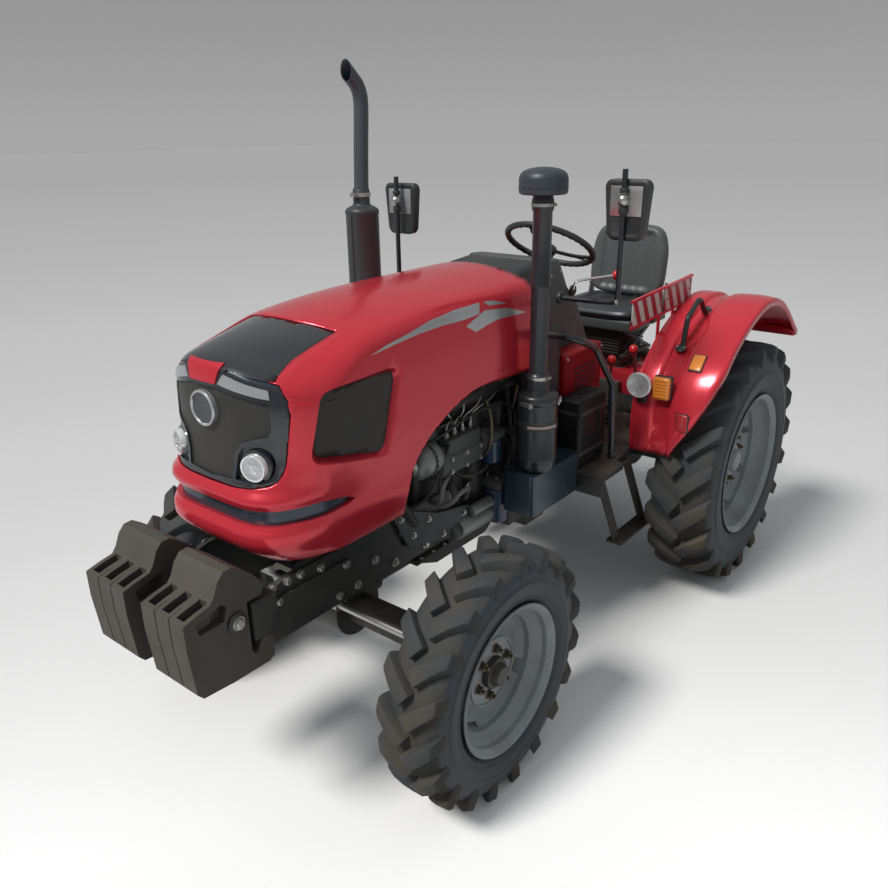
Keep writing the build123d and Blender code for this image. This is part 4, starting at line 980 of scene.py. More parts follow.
def hood_box():
    """The hood as a plain box with rounded edges, cut into a grid."""
    half = sizes().hood_half_width
    bm = bmesh.new()
    box(bm, (-half, HOOD_FRONT, HOOD_LOW), (half, HOOD_REAR, HOOD_HIGH))
    bm.normal_update()
    ends = [face for face in bm.faces if face.normal.z < -0.5 or face.normal.y > 0.5]
    bmesh.ops.delete(bm, geom=ends, context="FACES")
    for upright, radius, segments in ((True, 0.06, 8), (False, 0.036, 6)):
        edges = []
        for edge in bm.edges:
            along = (edge.verts[0].co - edge.verts[1].co).normalized()
            if len(edge.link_faces) == 2 and edge.calc_face_angle(0.0) > 1.0 and (abs(along.z) > 0.9) == upright:
                edges.append(edge)
        if not upright:
            top = [edge for edge in bm.edges if min(vert.co.z for vert in edge.verts) > HOOD_HIGH - 1e-4]
            edges = [edge for edge in top if len(edge.link_faces) == 2]
        soften(bm, edges, radius, segments)
    cuts(bm, X_AXIS, [number * 0.0315 for number in range(-7, 8)])
    cuts(bm, Y_AXIS, [HOOD_FRONT + number * 0.03 for number in range(2, 41)])
    cuts(bm, Z_AXIS, (0.87, 0.88, 0.89, 0.902, 0.916, 0.93, 0.944, 0.957, 0.969, 0.981, SLOT_LOW, 1.015, SLOT_HIGH,
        1.047, 1.056, 1.065, 1.074, 1.084, 1.1, 1.13, 1.16, 1.19, 1.22, HOOD_FOLD, 1.3, 1.34, 1.38, 1.42, 1.46))
    return bm


def open_engine_bay(bm):
    """Cuts the arch over the engine and the step up behind the nose."""
    planes = []
    for step in range(15):
        turn = math.pi / 2 * step / 14
        planes.append(((0, -0.43 - 0.475 * math.cos(turn), 0.862 + 0.33 * math.sin(turn)), (0, -0.33 * math.cos(turn),
            0.475 * math.sin(turn))))
    planes.append(((0, -0.2, 1.172), (0, 0.05, 1.0)))
    for place, normal in planes:
        cut(bm, place, normal)
    gone = []
    for face in bm.faces:
        middle = middle_of(face)
        if all((middle - Vector(place)).dot(Vector(normal)) < 0 for place, normal in planes):
            gone.append(face)
    bmesh.ops.delete(bm, geom=gone, context="FACES")


def on_nose(face):
    return middle_of(face).y < -1.15


def on_flank(face):
    return abs(face.normal.x) > 0.4


def score_hood(bm):
    """Cuts every line that a colour, a recess or an opening follows."""
    score(bm, both_halves(MASK_LINE), 1, lambda face: middle_of(face).y < -0.98)
    cap = [(-u, v) for u, v in reversed(CAP_LINE[1:])] + list(CAP_LINE)
    score(bm, cap, 2, lambda face: face.normal.z > 0.5, closed=False)
    for line in (GRILLE_LINE, PLATE_LINE):
        score(bm, both_halves(line), 1, on_nose)
    for line in (STRIP_LINE, BEZEL_LINE, BAY_LINE):
        for side in (1, -1):
            score(bm, [(side * u, v) for u, v in line], 1, on_nose)
    score(bm, rounded(VENT_LINE, 0.04), 0, on_flank)
    score(bm, SLOT_TIP, 0, on_flank, closed=False)
    for line in STRIPES:
        score(bm, line, 0, lambda face: abs(middle_of(face).x) > 0.2)


def colour_hood(bm):
    mask, grille, plate = both_halves(MASK_LINE), both_halves(GRILLE_LINE), both_halves(PLATE_LINE)
    vent = rounded(VENT_LINE, 0.04)
    slot = [(-1.6, SLOT_LOW)] + list(SLOT_TIP) + [(-1.6, SLOT_HIGH)]
    cap = [(-u, v) for u, v in reversed(CAP_LINE[1:])] + [*CAP_LINE, (0.2, -1.7), (-0.2, -1.7)]
    nose_lines = ((GRILLE, grille), (PLATE, plate), (STRIP, list(STRIP_LINE)), (BEZEL, list(BEZEL_LINE)), (BAY,
        list(BAY_LINE)))
    for face in bm.faces:
        x, y, z = middle_of(face)
        if within(mask, x, z) and (z < 1.38 or within(cap, x, y)):
            face.material_index = MASK
            for colour, line in nose_lines:
                if y < -1.15 and within(line, abs(x), z):
                    face.material_index = colour
        elif within(slot, y, z):
            face.material_index = SLOT
        elif on_flank(face) and within(vent, y, z):
            face.material_index = VENT
        elif abs(x) > 0.2 and any(within(list(line), y, z) for line in STRIPES):
            face.material_index = STRIPE


def coloured(bm, *colours):
    return [face for face in bm.faces if face.material_index in colours]


class TRACTOR_OT_hood(bpy.types.Operator):
    """Builds the hood: red panels, black nose mask, grille, slot insert, side vents and stripes"""

    bl_idname = "tractor.hood"
    bl_label = "Hood and nose"

    def execute(self, context):
        bm = hood_box()
        open_engine_bay(bm)
        for vert in bm.verts:
            vert.co = hood_bend(vert.co)
        bm.normal_update()
        score_hood(bm)
        bmesh.ops.remove_doubles(bm, verts=bm.verts, dist=0.0009)
        bm.normal_update()
        colour_hood(bm)
        # recesses, deepest surroundings first
        for colours, depth, wall in ((NOSE_COLOURS, 0.003, DROPPED), ((GRILLE,), 0.007, MASK), ((BAY,), 0.012, MASK),
            ((BEZEL,), 0.005, BEZEL), ((PLATE,), -0.004, PLATE), ((STRIP,), -0.004, STRIP), ((SLOT,), 0.016, RED)):
            sink(bm, coloured(bm, *colours), depth, wall)
            bm.normal_update()
        for side in (1, -1):
            self.sink_vent(bm, side)
        nose_colours = {GRILLE: "fine_mesh", STRIP: "silver_trim", PLATE: "red_paint", BEZEL: "black_gloss"}
        # columns: piece, colours it takes, their finishes where they differ from the last, slot, node, sharp, skin
        for name, kept, colours, rest, slot, node, sharp, skin in (("hood_panels", (RED, SLOT, STRIPE),
            {SLOT: "black_gloss", STRIPE: "silver_trim"}, "red_paint", "red_paint", "hood_shell", 40,
            sizes().hood_skin), ("nose_mask", NOSE_COLOURS, nose_colours, "mask_gloss", "black_gloss", "hood_nose",
            40, sizes().hood_skin), ("hood_vents", (VENT,), {}, "fine_mesh", "black_plastic", "hood_screens", 50,
            0.002)):
            make_piece(name, keep_faces(bm, lambda face: face.material_index in kept), " ".join(colours.get(colour,
                rest) for colour in range(10)), "hood", [node], sharp, skin=skin, recalc=False)
        bm.free()
        self.make_badge()
        self.make_lamps()
        return {"FINISHED"}

    def sink_vent(self, bm, side):
        """Sinks a side vent to a flat screen, with a sloping red surround."""
        faces = [face for face in coloured(bm, VENT) if middle_of(face).x * side > 0]
        inner = push_in(bm, faces, (0, 0, 0))
        verts = {vert for face in inner for vert in face.verts}
        middle = Vector((0, -1.09, 1.235))
        for vert in verts:
            for axis, narrow in ((1, 0.87), (2, 0.88)):
                vert.co[axis] = middle[axis] + (vert.co[axis] - middle[axis]) * narrow
            vert.co.x = side * (0.2665 + 0.075 * (vert.co.y - middle.y) - 0.03 * (vert.co.z - middle.z))
        rim = {face for vert in verts for face in vert.link_faces} - set(inner)
        paint(rim, RED)

    def make_badge(self):
        """The round badge of the nose, with nothing on it."""
        bm = bmesh.new()
        centre = (0, -1.391, 1.297)
        lathe(bm, mm((0, 6), (38, 6), (43, 7), (45, 10), (50, 10), (52, 7), (52, -6)), centre, FORWARD, 0, 64)
        paint([face for face in bm.faces if (middle_of(face) - Vector(centre)).xz.length < 0.042], 1)
        make_piece("nose_badge", bm, "silver_trim plate_grey", "hood", sharp=30)

    def make_lamps(self):
        bm = bmesh.new()
        for side in (1, -1):
            way = Vector((side * 0.3, -1, 0)).normalized()
            centre = Vector((side * 0.163, -1.362, 1.154))
            lathe(bm, mm((0, 0), (10, 1), (20, 6), (28, 14), (33.5, 22), (37.5, 23), (38.5, 20), (38.5, -12)), centre,
                way, 0, 48)
            lathe(bm, mm((34.5, 21.5), (28, 24.5), (14, 27.5), (0, 28.5)), centre, way, 1, 48)
            rod(bm, centre, way, 0.006, 0.012, 0, 16, bevel=0.002)
            lathe(bm, mm((38.5, 4), (47, 3), (49, -3), (49, -10)), centre, way, 2, 48)
        make_piece("headlamp_set", bm, "lamp_shell lamp_glass mask_gloss", "hood", ["headlamps"])


# ---------- fenders
def smooth_line(points, count):
    """Evenly spaced points of a smooth line that passes near each given point."""
    mesh = curve_mesh(points, 24)
    places = [vert.co.copy() for vert in mesh.vertices]
    bpy.data.meshes.remove(mesh)
    runs = [0.0]
    for a, b in zip(places, places[1:]):
        runs.append(runs[-1] + (b - a).length)
    result, at = [], 0
    for number in range(count):
        wanted = runs[-1] * number / (count - 1)
        while at < len(places) - 2 and runs[at + 1] < wanted:
            at += 1
        share = (wanted - runs[at]) / max(runs[at + 1] - runs[at], 1e-9)
        result.append(places[at].lerp(places[at + 1], min(share, 1.0)))
    return result


# side view of the fender's crown, front foot to tail, as (Y, Z)
FENDER_LINE = mm((352, 722), (343, 780), (339, 850), (343, 915), (364, 982), (402, 1052), (462, 1118), (530, 1172),
    (610, 1216), (685, 1250), (760, 1277), (840, 1297), (920, 1303), (1010, 1294), (1098, 1268), (1180, 1224), (1250,
    1180), (1320, 1128), (1385, 1085))
# columns: height, place of the outer edge
FENDER_OUTER = mm((640, 596), (735, 620), (850, 690), (960, 740), (1060, 772), (1100, 780))
# columns: place across, or its share between groove and outer edge; height above the crown line
FENDER_ACROSS = ((0.441, -0.01, False), (0.449, -0.003, False), (0.462, -0.001, False), (0.512, -0.001, False),
    (0.524, -0.002, False), (0.531, -0.006, False), (0.536, -0.015, False), (0.59, -0.015, False), (0.598, -0.007,
    False), (0.03, -0.001, True), (0.12, 0.001, True), (0.35, 0.004, True), (0.62, 0.004, True), (0.84, 0.0, True),
    (0.93, -0.002, True), (0.975, -0.005, True), (0.995, -0.011, True), (1.0, -0.034, True))
GROOVE_EDGE = 0.602


def fender_shape():
    rows = smooth_line([(0, y, z) for y, z in FENDER_LINE], 52)
    bm = bmesh.new()
    verts = bmesh.ops.create_grid(bm, x_segments=len(FENDER_ACROSS) - 1, y_segments=len(rows) - 1, size=1.0)["verts"]
    for vert in verts:
        column = round((vert.co.x + 1) / 2 * (len(FENDER_ACROSS) - 1))
        row = round((vert.co.y + 1) / 2 * (len(rows) - 1))
        across, lift, shared = FENDER_ACROSS[column]
        place = rows[row]
        ahead = rows[min(row + 1, len(rows) - 1)] - rows[max(row - 1, 0)]
        out = X_AXIS.cross(ahead).normalized()
        outer = mix(FENDER_OUTER, place.z) if place.y < 0.6 else 0.78
        x = GROOVE_EDGE + across * (outer - GROOVE_EDGE) if shared else across
        # the groove runs out towards the foot
        depth = lift if shared or lift > -0.012 else lift + 0.012 * smooth_step((0.86 - place.z) / 0.1)
        vert.co = Vector((x, place.y, place.z)) + out * depth
    return bm


def wall_shape():
    """The fender's inner wall, from its crown line down to the platform and the axle."""
    bm = bmesh.new()
    top = smooth_line([(0, y, z) for y, z in FENDER_LINE], 34)
    outline = [(0.441, place.y, place.z - 0.006) for place in top]
    outline += mm((441, 1300, 950), (441, 1150, 780), (441, 1050, 722), (441, 400, 722))
    corners = [bm.verts.new(point) for point in outline]
    bm.faces.new(corners)
    cuts(bm, Z_AXIS, (0.8, 0.95, 1.1, 1.2))
    return bm


class TRACTOR_OT_fenders(bpy.types.Operator):
    """Builds the two fenders: crown with its groove, folded outer lip and inner wall"""

    bl_idname = "tractor.fenders"
    bl_label = "Fenders"

    def execute(self, context):
        skin = sizes().fender_skin
        for name, side in (("left", 1), ("right", -1)):
            bm = fender_shape()
            bmesh.ops.scale(bm, vec=(side, 1, 1), verts=bm.verts)
            bmesh.ops.recalc_face_normals(bm, faces=bm.faces)
            bm.normal_update()
            crown = max(bm.faces, key=lambda face: middle_of(face).z)
            if crown.normal.z < 0:
                bmesh.ops.reverse_faces(bm, faces=bm.faces)
            make_piece(f"fender_crown_{name}", bm, "red_paint", "root", [f"fender_{name}"], sharp=50,
                skin=skin, recalc=False)
            bm = wall_shape()
            made = bmesh.ops.extrude_face_region(bm, geom=list(bm.faces))["geom"]
            bmesh.ops.translate(bm, vec=(0.005, 0, 0), verts=verts_in(made))
            # stiffening ribs and the bolts that hold the wall to the axle
            for y in (0.62, 0.86, 1.1):
                box(bm, (0.435, y - 0.012, 0.8), (0.4415, y + 0.012, 1.12), 0, 0.002)
                for z in (0.755, 0.785):
                    bolt(bm, (0.4412, y + 0.04, z), (-1, 0, 0), 0.016, 1)
            # the tail is rolled into a thick edge
            rod(bm, (0.446, 1.371, 1.0705), X_AXIS, 0.0215, 0.328, 0, 28, bevel=0.01)
            bmesh.ops.scale(bm, vec=(side, 1, 1), verts=bm.verts)
            make_piece(f"fender_wall_{name}", bm, "red_paint steel", "root", sharp=40)
        return {"FINISHED"}


class TRACTOR_OT_fender_fittings(bpy.types.Operator):
    """Builds the round work lamps, turn lamps, reflectors, rail feet and striped plate racks"""

    bl_idname = "tractor.fender_fittings"
    bl_label = "Fender lamps and racks"

    def execute(self, context):
        lamps, feet, racks = bmesh.new(), bmesh.new(), bmesh.new()
        for y, z, lean in ((500, 1142, -0.62), (738, 1262, -0.34)):
            way = (0, lean, 1)
            for x in (566, -566):
                rod(feet, (x, y, z), way, 22, 6, 0, 24, bevel=1.5)
                bolts(feet, way, 7, 1, [(x + shift, y + 1, z + 6) for shift in (-15, 15)])
        self.make_lamps(lamps)
        for side in (1, -1):
            self.make_rack(racks, side)
        colours = "lamp_shell lamp_glass amber red_lens charcoal"
        make_piece("fender_lamp_set", lamps, colours, "root", ["fender_lamps"], unit=MM)
        make_piece("grab_rail_feet", feet, "black_tube steel", "root", sharp=40, unit=MM)
        make_piece("striped_plate_racks", racks, "striped_plate red_paint steel", "root", bevel=1,
            unit=MM)
        return {"FINISHED"}

    def make_lamps(self, bm):
        centre = Vector((482, 318, 1020))
        shell = ((0, -46), (20, -43), (37, -32), (47, -14), (50, 0), (52, 4), (52, 13), (49, 17), (44, 16), (36, 6),
            (22, -4), (0, -8))
        lathe(bm, shell, centre, FORWARD, 0, 48)
        lathe(bm, ((45, 16), (38, 16.5), (26, 17.5), (12, 18), (0, 18)), centre, FORWARD, 1, 48)
        rod(bm, (482, 322, 1020), FORWARD, 7, 10, 0, 16, bevel=2)
        rod(bm, (482, 352, 1020), (0, 0.4, -1), 8, 60, 4, 16)
        # bracket, and the turn lamp beside the work lamp
        boxes(bm, (462, 345, 935, 502, 372, 985, 4, 3), (530, 324, 966, 602, 352, 1059, 2, 12, 4), (528, 344, 963,
            604, 372, 1061, 4, 8, 3))
        for number in range(6):
            z = 978 + 13.5 * number
            box(bm, (538, 322.2, z), (594, 326, z + 6), 2, 1, 1)
        # reflectors on the crown
        for y, z, slot, turn in ((446, 1108, 2, 0.78), (340.5, 885, 3, 1.6)):
            matrix = turned((662, y, z), turn - math.pi / 2, "X")
            box(bm, (-24, -8, -36), (24, 0, 36), slot, 4, 3, matrix)
            box(bm, (-28, -4, -40), (28, 1, 40), 4, 2, 2, matrix)
        add_mirrored(bm)

    def make_rack(self, bm, side):
        """Two lapped plates with slanted stripes, standing along the inner edge of the fender."""
        for x, y, z in ((436, 300, 1248), (442, 585, 1262)):
            matrix = turned((side * x, y, z), 0.045, "X")
            box(bm, (-2, 0, 0), (2, 275, 104), 0, 0, 1, matrix)
            for low in (-6, 100):
                box(bm, (-6, -6, low), (6, 281, low + 10), 1, 0, 1, matrix)
            bolts(bm, (side, 0, 0), 9, 2, [matrix @ Vector((side * 2, end, 52)) for end in (20, 255)])
        for y, low in ((560, 1150), (700, 1200), (830, 1230)):
            box(bm, (side * 433 - 3, y - 11, low), (side * 433 + 3, y + 11, 1300), 1)


# ---------- front weights
WEIGHT_OUTLINE = ((-1690, 846), (-1690, 768), (-1677, 630), (-1660, 610), (-1562, 602), (-1438, 601), (-1420, 612),
    (-1417, 660), (-1426, 684), (-1446, 690), (-1464, 680), (-1470, 656), (-1484, 650), (-1493, 664), (-1494, 820),
    (-1446, 820), (-1436, 840), (-1444, 868), (-1470, 897), (-1504, 925), (-1530, 943), (-1556, 941), (-1576, 920),
    (-1592, 884), (-1606, 866), (-1650, 857))
HAND_SLOT = ((-1655, 829), (-1646, 796), (-1570, 799), (-1558, 838), (-1574, 852))


class TRACTOR_OT_weights(bpy.types.Operator):
    """Builds the two groups of cast front weights with hand slots, lifting pockets and clamp bolts"""

    bl_idname = "tractor.weights"
    bl_label = "Front weights"

    def execute(self, context):
        for name, low, node in (("left", 42, ["front_weights"]), ("right", -230, [])):
            make_piece(f"weight_group_{name}", self.group_shape(low, low + 188), "weight_iron steel", "root",
                node, 32, 7, 3, unit=MM)
        bm = bmesh.new()
        # clamp bolts that run through each group, and the middle bracket
        for low, high in ((34, 238), (-238, -34)):
            rod(bm, (low, -1533, 779), X_AXIS, 10, high - low, 0, 20)
            for x, way in ((low, -1), (high, 1)):
                rod(bm, (x - way * 6, -1533, 779), (way, 0, 0), 30, 6, 1, bevel=2)
                bolt(bm, (x, -1533, 779), (way, 0, 0), 26)
        boxes(bm, (-32, -1512, 640, 32, -1500, 870, 1, 3), (-30, -1560, 735, 30, -1512, 752, 1, 3))
        bolt(bm, (0, -1512, 820), FORWARD, 24)
        make_piece("weight_clamps", bm, "steel chassis", "root", sharp=32, unit=MM)
        return {"FINISHED"}

    def group_shape(self, low, high):
        bm = bmesh.new()
        prism(bm, flank(WEIGHT_OUTLINE, low), (high - low, 0, 0))
        width = (high - low) / 3
        middles = [low + (number + 0.5) * width for number in range(3)]
        joints = (low + width, low + 2 * width)
        cuts(bm, X_AXIS, [low + 2, *(x + shift for x in joints for shift in (-2, 2))])
        cuts(bm, X_AXIS, [x + shift for x in middles for shift in (-16, 16)])
        cuts(bm, Y_AXIS, (-1676, -1603))
        bm.normal_update()
        # a lifting pocket on the shelf of each plate
        for centre in middles:
            pocket = []
            for face in bm.faces:
                x, y, z = middle_of(face)
                if abs(x - centre) < 16 and -1676 < y < -1603 and z > 800 and face.normal.z > 0.3:
                    pocket.append(face)
            push_in(bm, pocket, (0, 4, -60))
        bm.normal_update()
        # joints between the plates, on the front and below
        grooves = []
        for face in bm.faces:
            x, y, z = middle_of(face)
            if min(abs(x - joint) for joint in joints) < 2 and y < -1655 and abs(face.normal.x) < 0.5:
                grooves.append(face)
        push_in(bm, grooves, (0, 6, 0))
        # hand slot sunk into each flank
        for place, way in ((low, 1), (high, -1)):
            for (ay, az), (by, bz) in zip(HAND_SLOT, HAND_SLOT[1:] + HAND_SLOT[:1]):
                side = [face for face in bm.faces if abs(middle_of(face).x - place) < 0.1]
                cut(bm, (place, ay, az), (0, bz - az, ay - by), side)
            slot = []
            for face in bm.faces:
                x, y, z = middle_of(face)
                if abs(x - place) < 0.1 and within(HAND_SLOT, y, z):
                    slot.append(face)
            push_in(bm, slot, (way * 26, 0, 0))
        return bm


# ---------- air cleaner, exhaust, mirrors
# profiles as (radius, height)
CANISTER = ((0, 820), (50, 820), (64, 823), (70, 830), (72.5, 842), (73, 860), (75.5, 863), (76, 874), (73.5, 878),
    (73, 990), (73, 1076), (75.5, 1079), (76.5, 1086), (76, 1098), (73.5, 1106), (68, 1111), (52, 1114), (42, 1116),
    (39, 1122), (39, 1152), (37, 1156))
STACK = ((38, 1154), (39, 1160), (39, 1178), (34, 1184), (32.5, 1190), (32.5, 1480), (34, 1484), (34, 1498), (32.5,
    1502), (32.5, 1735), (37, 1742), (37, 1772), (34, 1780), (34, 1800))
CAP = ((36, 1796), (60, 1792), (74, 1790), (79, 1793), (81, 1800), (81, 1838), (78, 1850), (69, 1861), (50, 1869),
    (26, 1873.5), (0, 1875))
MUFFLER = ((30, 1150), (34, 1163), (52, 1170), (60, 1178), (63, 1184), (63, 1194), (61.2, 1198), (61.2, 1440), (62.5,
    1444), (62.5, 1452), (61.2, 1456), (61.2, 1700), (63, 1704), (63, 1714), (59, 1721), (48, 1728), (35, 1734), (31,
    1740), (31, 1790), (28, 1794))


def band(bm, foot, radius, z, half, thick, slot, steps):
    """A clamp round a pipe, with its edges softened."""
    profile = ((radius, z - half), (radius + thick, z + 1 - half), (radius + thick, z + half - 1), (radius, z + half))
    lathe(bm, profile, foot, Z_AXIS, slot, steps)


class TRACTOR_OT_air_cleaner(bpy.types.Operator):
    """Builds the air cleaner: mushroom cap, stack, canister with its clip ring and bracket"""

    bl_idname = "tractor.air_cleaner"
    bl_label = "Air cleaner"

    def execute(self, context):
        low, high = cad_box("air_cleaner")
        x = high.x - 81
        foot = Vector((x, (low.y + high.y) / 2, 0))
        bm = bmesh.new()
        for slot, profile, steps in ((0, CANISTER, 64), (1, STACK, 48), (2, CAP, 64)):
            lathe(bm, profile, foot, Z_AXIS, slot, steps)
        # band clamps on the stack, and slots of the cap
        for z, radius in ((1168, 39.5), (1757, 37.5)):
            band(bm, foot, radius, z, 6, 1.5, 3, 48)
            rod(bm, foot + Vector((radius + 4, -12, z)), Y_AXIS, 5, 26, 3, 12)
        for number in range(16):
            way = around(math.tau * number / 16)
            box(bm, (-10, -2, -3), (10, 2, 2), 0, 0.8, 1, aim(foot + way * 80 + Z_AXIS * 1812, way))
        # over-centre clips that hold the dust cup
        for turn in (0.5, 2.6, 4.7):
            way = around(turn)
            matrix = aim(foot + way * 75 + Z_AXIS * 1082, way)
            box(bm, (-28, -8, -1), (30, 8, 5), 3, 1.5, 2, matrix)
            box(bm, (12, -11, 4), (24, 11, 10), 3, 1.5, 2, matrix)
        # blank plate on the canister
        for step in range(7):
            way = around(0.11 * step - 1.05)
            box(bm, (-30, -4.5, 0), (30, 4.5, 1.6), 4, 0, 1, aim(foot + way * 73.5 + Z_AXIS * 1000, way))
        # mounting band and bracket towards the engine
        band(bm, foot, 74.5, 1000, 15, 2, 5, 64)
        y = foot.y
        boxes(bm, (low.x, y - 22, 930, x - 68, y + 22, 938, 5, 2), (x - 86, y - 22, 930, x - 78, y + 22, 1020, 5, 2))
        colours = "black_tube black_tube cap_plastic steel label_blank chassis"
        make_piece("air_cleaner_set", bm, colours, "root", ["air_cleaner"], unit=MM)
        return {"FINISHED"}


class TRACTOR_OT_exhaust(bpy.types.Operator):
    """Builds the exhaust: muffler with rolled ends and seam, clamps, stack and slash-cut elbow"""

    bl_idname = "tractor.exhaust"
    bl_label = "Exhaust"

    def execute(self, context):
        low, high = cad_box("exhaust")
        x, y = low.x + 63, high.y - 63
        foot = Vector((x, y, 0))
        bm = bmesh.new()
        lathe(bm, MUFFLER, foot, Z_AXIS)
        # lengthwise seam of the muffler's jacket, and the strap that carries it
        boxes(bm, (x - 5, y - 64.5, 1200, x + 5, y - 58, 1698, 0, 2), (x - 65.5, y - 10, 1200, x - 60, y + 10, 1560,
            0, 2))
        elbow = ((0, 1760), (8, 1900), (18, 2020), (23, 2098), (8, 2140), (-24, 2168), (-70, 2210), (-130, 2266))
        pipe(bm, [(x, y + back, z) for back, z in elbow], 27, 1, 32)
        mouth = y - 46
        cut(bm, (x, mouth, 2200), Y_AXIS)
        gone = [face for face in bm.faces if middle_of(face).y < mouth and middle_of(face).z > 2000]
        bmesh.ops.delete(bm, geom=gone, context="FACES")
        make_piece("exhaust_stack", bm, "exhaust_paint pipe_paint", "root", ["exhaust"], 40,
            skin=0.002, unit=MM)
        bm = bmesh.new()
        # lower pipe, flange to the manifold and the clamps
        lower = ((0, 1175), (0, 1125), (20, 1100), (70, 1110), (150, 1125))
        pipe(bm, [(x + out, y, z) for out, z in lower], 27, 0, 24)
        flange = Vector((x + 145, y, 1125))
        rod(bm, flange, X_AXIS, 45, 10, 0, bevel=2)
        bolts(bm, -X_AXIS, 12, 1, [flange + around(math.tau * (step + 0.5) / 4, 36).zxy for step in range(4)])
        front = y - 31.5
        for z in (1772, 1156):
            band(bm, foot, 31.5, z, 8, 3, 1, 40)
            box(bm, (x - 10, front - 18, z - 8), (x + 10, front + 2, z + 8), 1, 2)
            bolt(bm, (x + 10, front - 10, z), X_AXIS, 10, 1)
        make_piece("exhaust_clamps", bm, "exhaust_paint steel", "root", unit=MM)
        return {"FINISHED"}


# columns: side, place of the stem and its depth, middle of the head, foot of the head, top of the stem
MIRRORS = ((1, 500, 34, 505, 1616, 1858), (-1, 525, 14, 533, 1576, 1812))


class TRACTOR_OT_mirrors(bpy.types.Operator):
    """Builds the two mirrors: bent stems with ball joints, ribbed shells and glass"""

    bl_idname = "tractor.mirrors"
    bl_label = "Mirrors"

    def execute(self, context):
        bm = bmesh.new()
        for side, stem, deep, head, foot, tip in MIRRORS:
            self.make_head(bm, side * head, foot)
            # stem from the console, up in front of the head, with its ball joint and clamps
            x = side * stem
            bend = ((side * 285, 10, 1400), (side * 380, 12, 1400), (x - side * 30, deep, 1400))
            rise = [(x, deep, z) for z in (1404, 1440, 1640, tip - 20, tip)]
            pipe(bm, (*bend, *rise), 10, 2, 16)
            ball = Vector((x, deep - 4, foot + 140))
            bmesh.ops.create_uvsphere(bm, u_segments=24, v_segments=16, radius=22, matrix=Matrix.Translation(ball))
            paint([face for face in bm.faces if (middle_of(face) - ball).length < 22.2], 4)
            rod(bm, ball + Vector((0, 4, -46)), Z_AXIS, 16, 24, 0, 24, bevel=3)
            rod(bm, ball + Vector((0, 4, 24)), Z_AXIS, 16, 16, 0, 24, bevel=3)
            rod(bm, (side * 270, 10, 1400), (side, 0, 0), 24, 18, 0, 24, bevel=3)
            bolt(bm, (x, deep - 10, 1404), FORWARD, 12, 4)
        make_piece("mirror_pair", bm, "charcoal mirror_glass black_tube mirror_panel steel", "root",
            ["mirrors"], 38, bevel=1.5, unit=MM)
        return {"FINISHED"}

    def make_head(self, bm, x, foot):
        """A shell that narrows downward, crowned in front, with the glass behind."""
        verts = box(bm, (x - 86, 47, foot + 2), (x + 86, 76, foot + 208))
        for vert in verts:
            if vert.co.z < foot + 100:
                vert.co.x = x + (vert.co.x - x) * 0.8
        edges = {edge for vert in verts for edge in vert.link_edges}
        made = soften(bm, [edge for edge in edges if abs((edge.verts[0].co - edge.verts[1].co).normalized().y) > 0.9],
            30, 8)
        shell = set(faces_of(made["verts"]))
        shell |= {face for part in shell for edge in part.edges for face in edge.link_faces}
        bm.normal_update()
        front = [face for face in shell if face.normal.y < -0.9]
        glass = [face for face in shell if face.normal.y > 0.9]
        for faces, inward, rise in ((front, 8, 5), (front, 10, 0), (front, 4, -3), (glass, 7, -3)):
            bmesh.ops.inset_region(bm, faces=faces, thickness=inward, depth=rise, use_even_offset=True)
        paint(glass, 1)
        # lighter panel over the upper part of the front
        box(bm, (x - 60, 41.5, foot + 85), (x + 60, 45.5, foot + 186), 3, 1.5)


# ---------- console, steering wheel, seat
# side views, as (Y, Z): the cowl behind the hood and the instrument housing
COWL = ((-148, 907), (-148, 1486), (-90, 1512), (58, 1523), (58, 907))
HOUSING = ((60, 724), (60, 1524), (150, 1519), (217, 1405), (304, 1323), (425, 1118), (380, 1086), (250, 1050), (220,
    724))


def soften_sharp(bm, verts, radius, segments, least=0.6):
    """Rounds the sharp edges of a shape that has just been added."""
    bm.normal_update()
    edges = {edge for vert in verts if vert.is_valid for edge in vert.link_edges}
    soften(bm, [edge for edge in edges if len(edge.link_faces) == 2 and edge.calc_face_angle(0.0) > least], radius,
        segments)


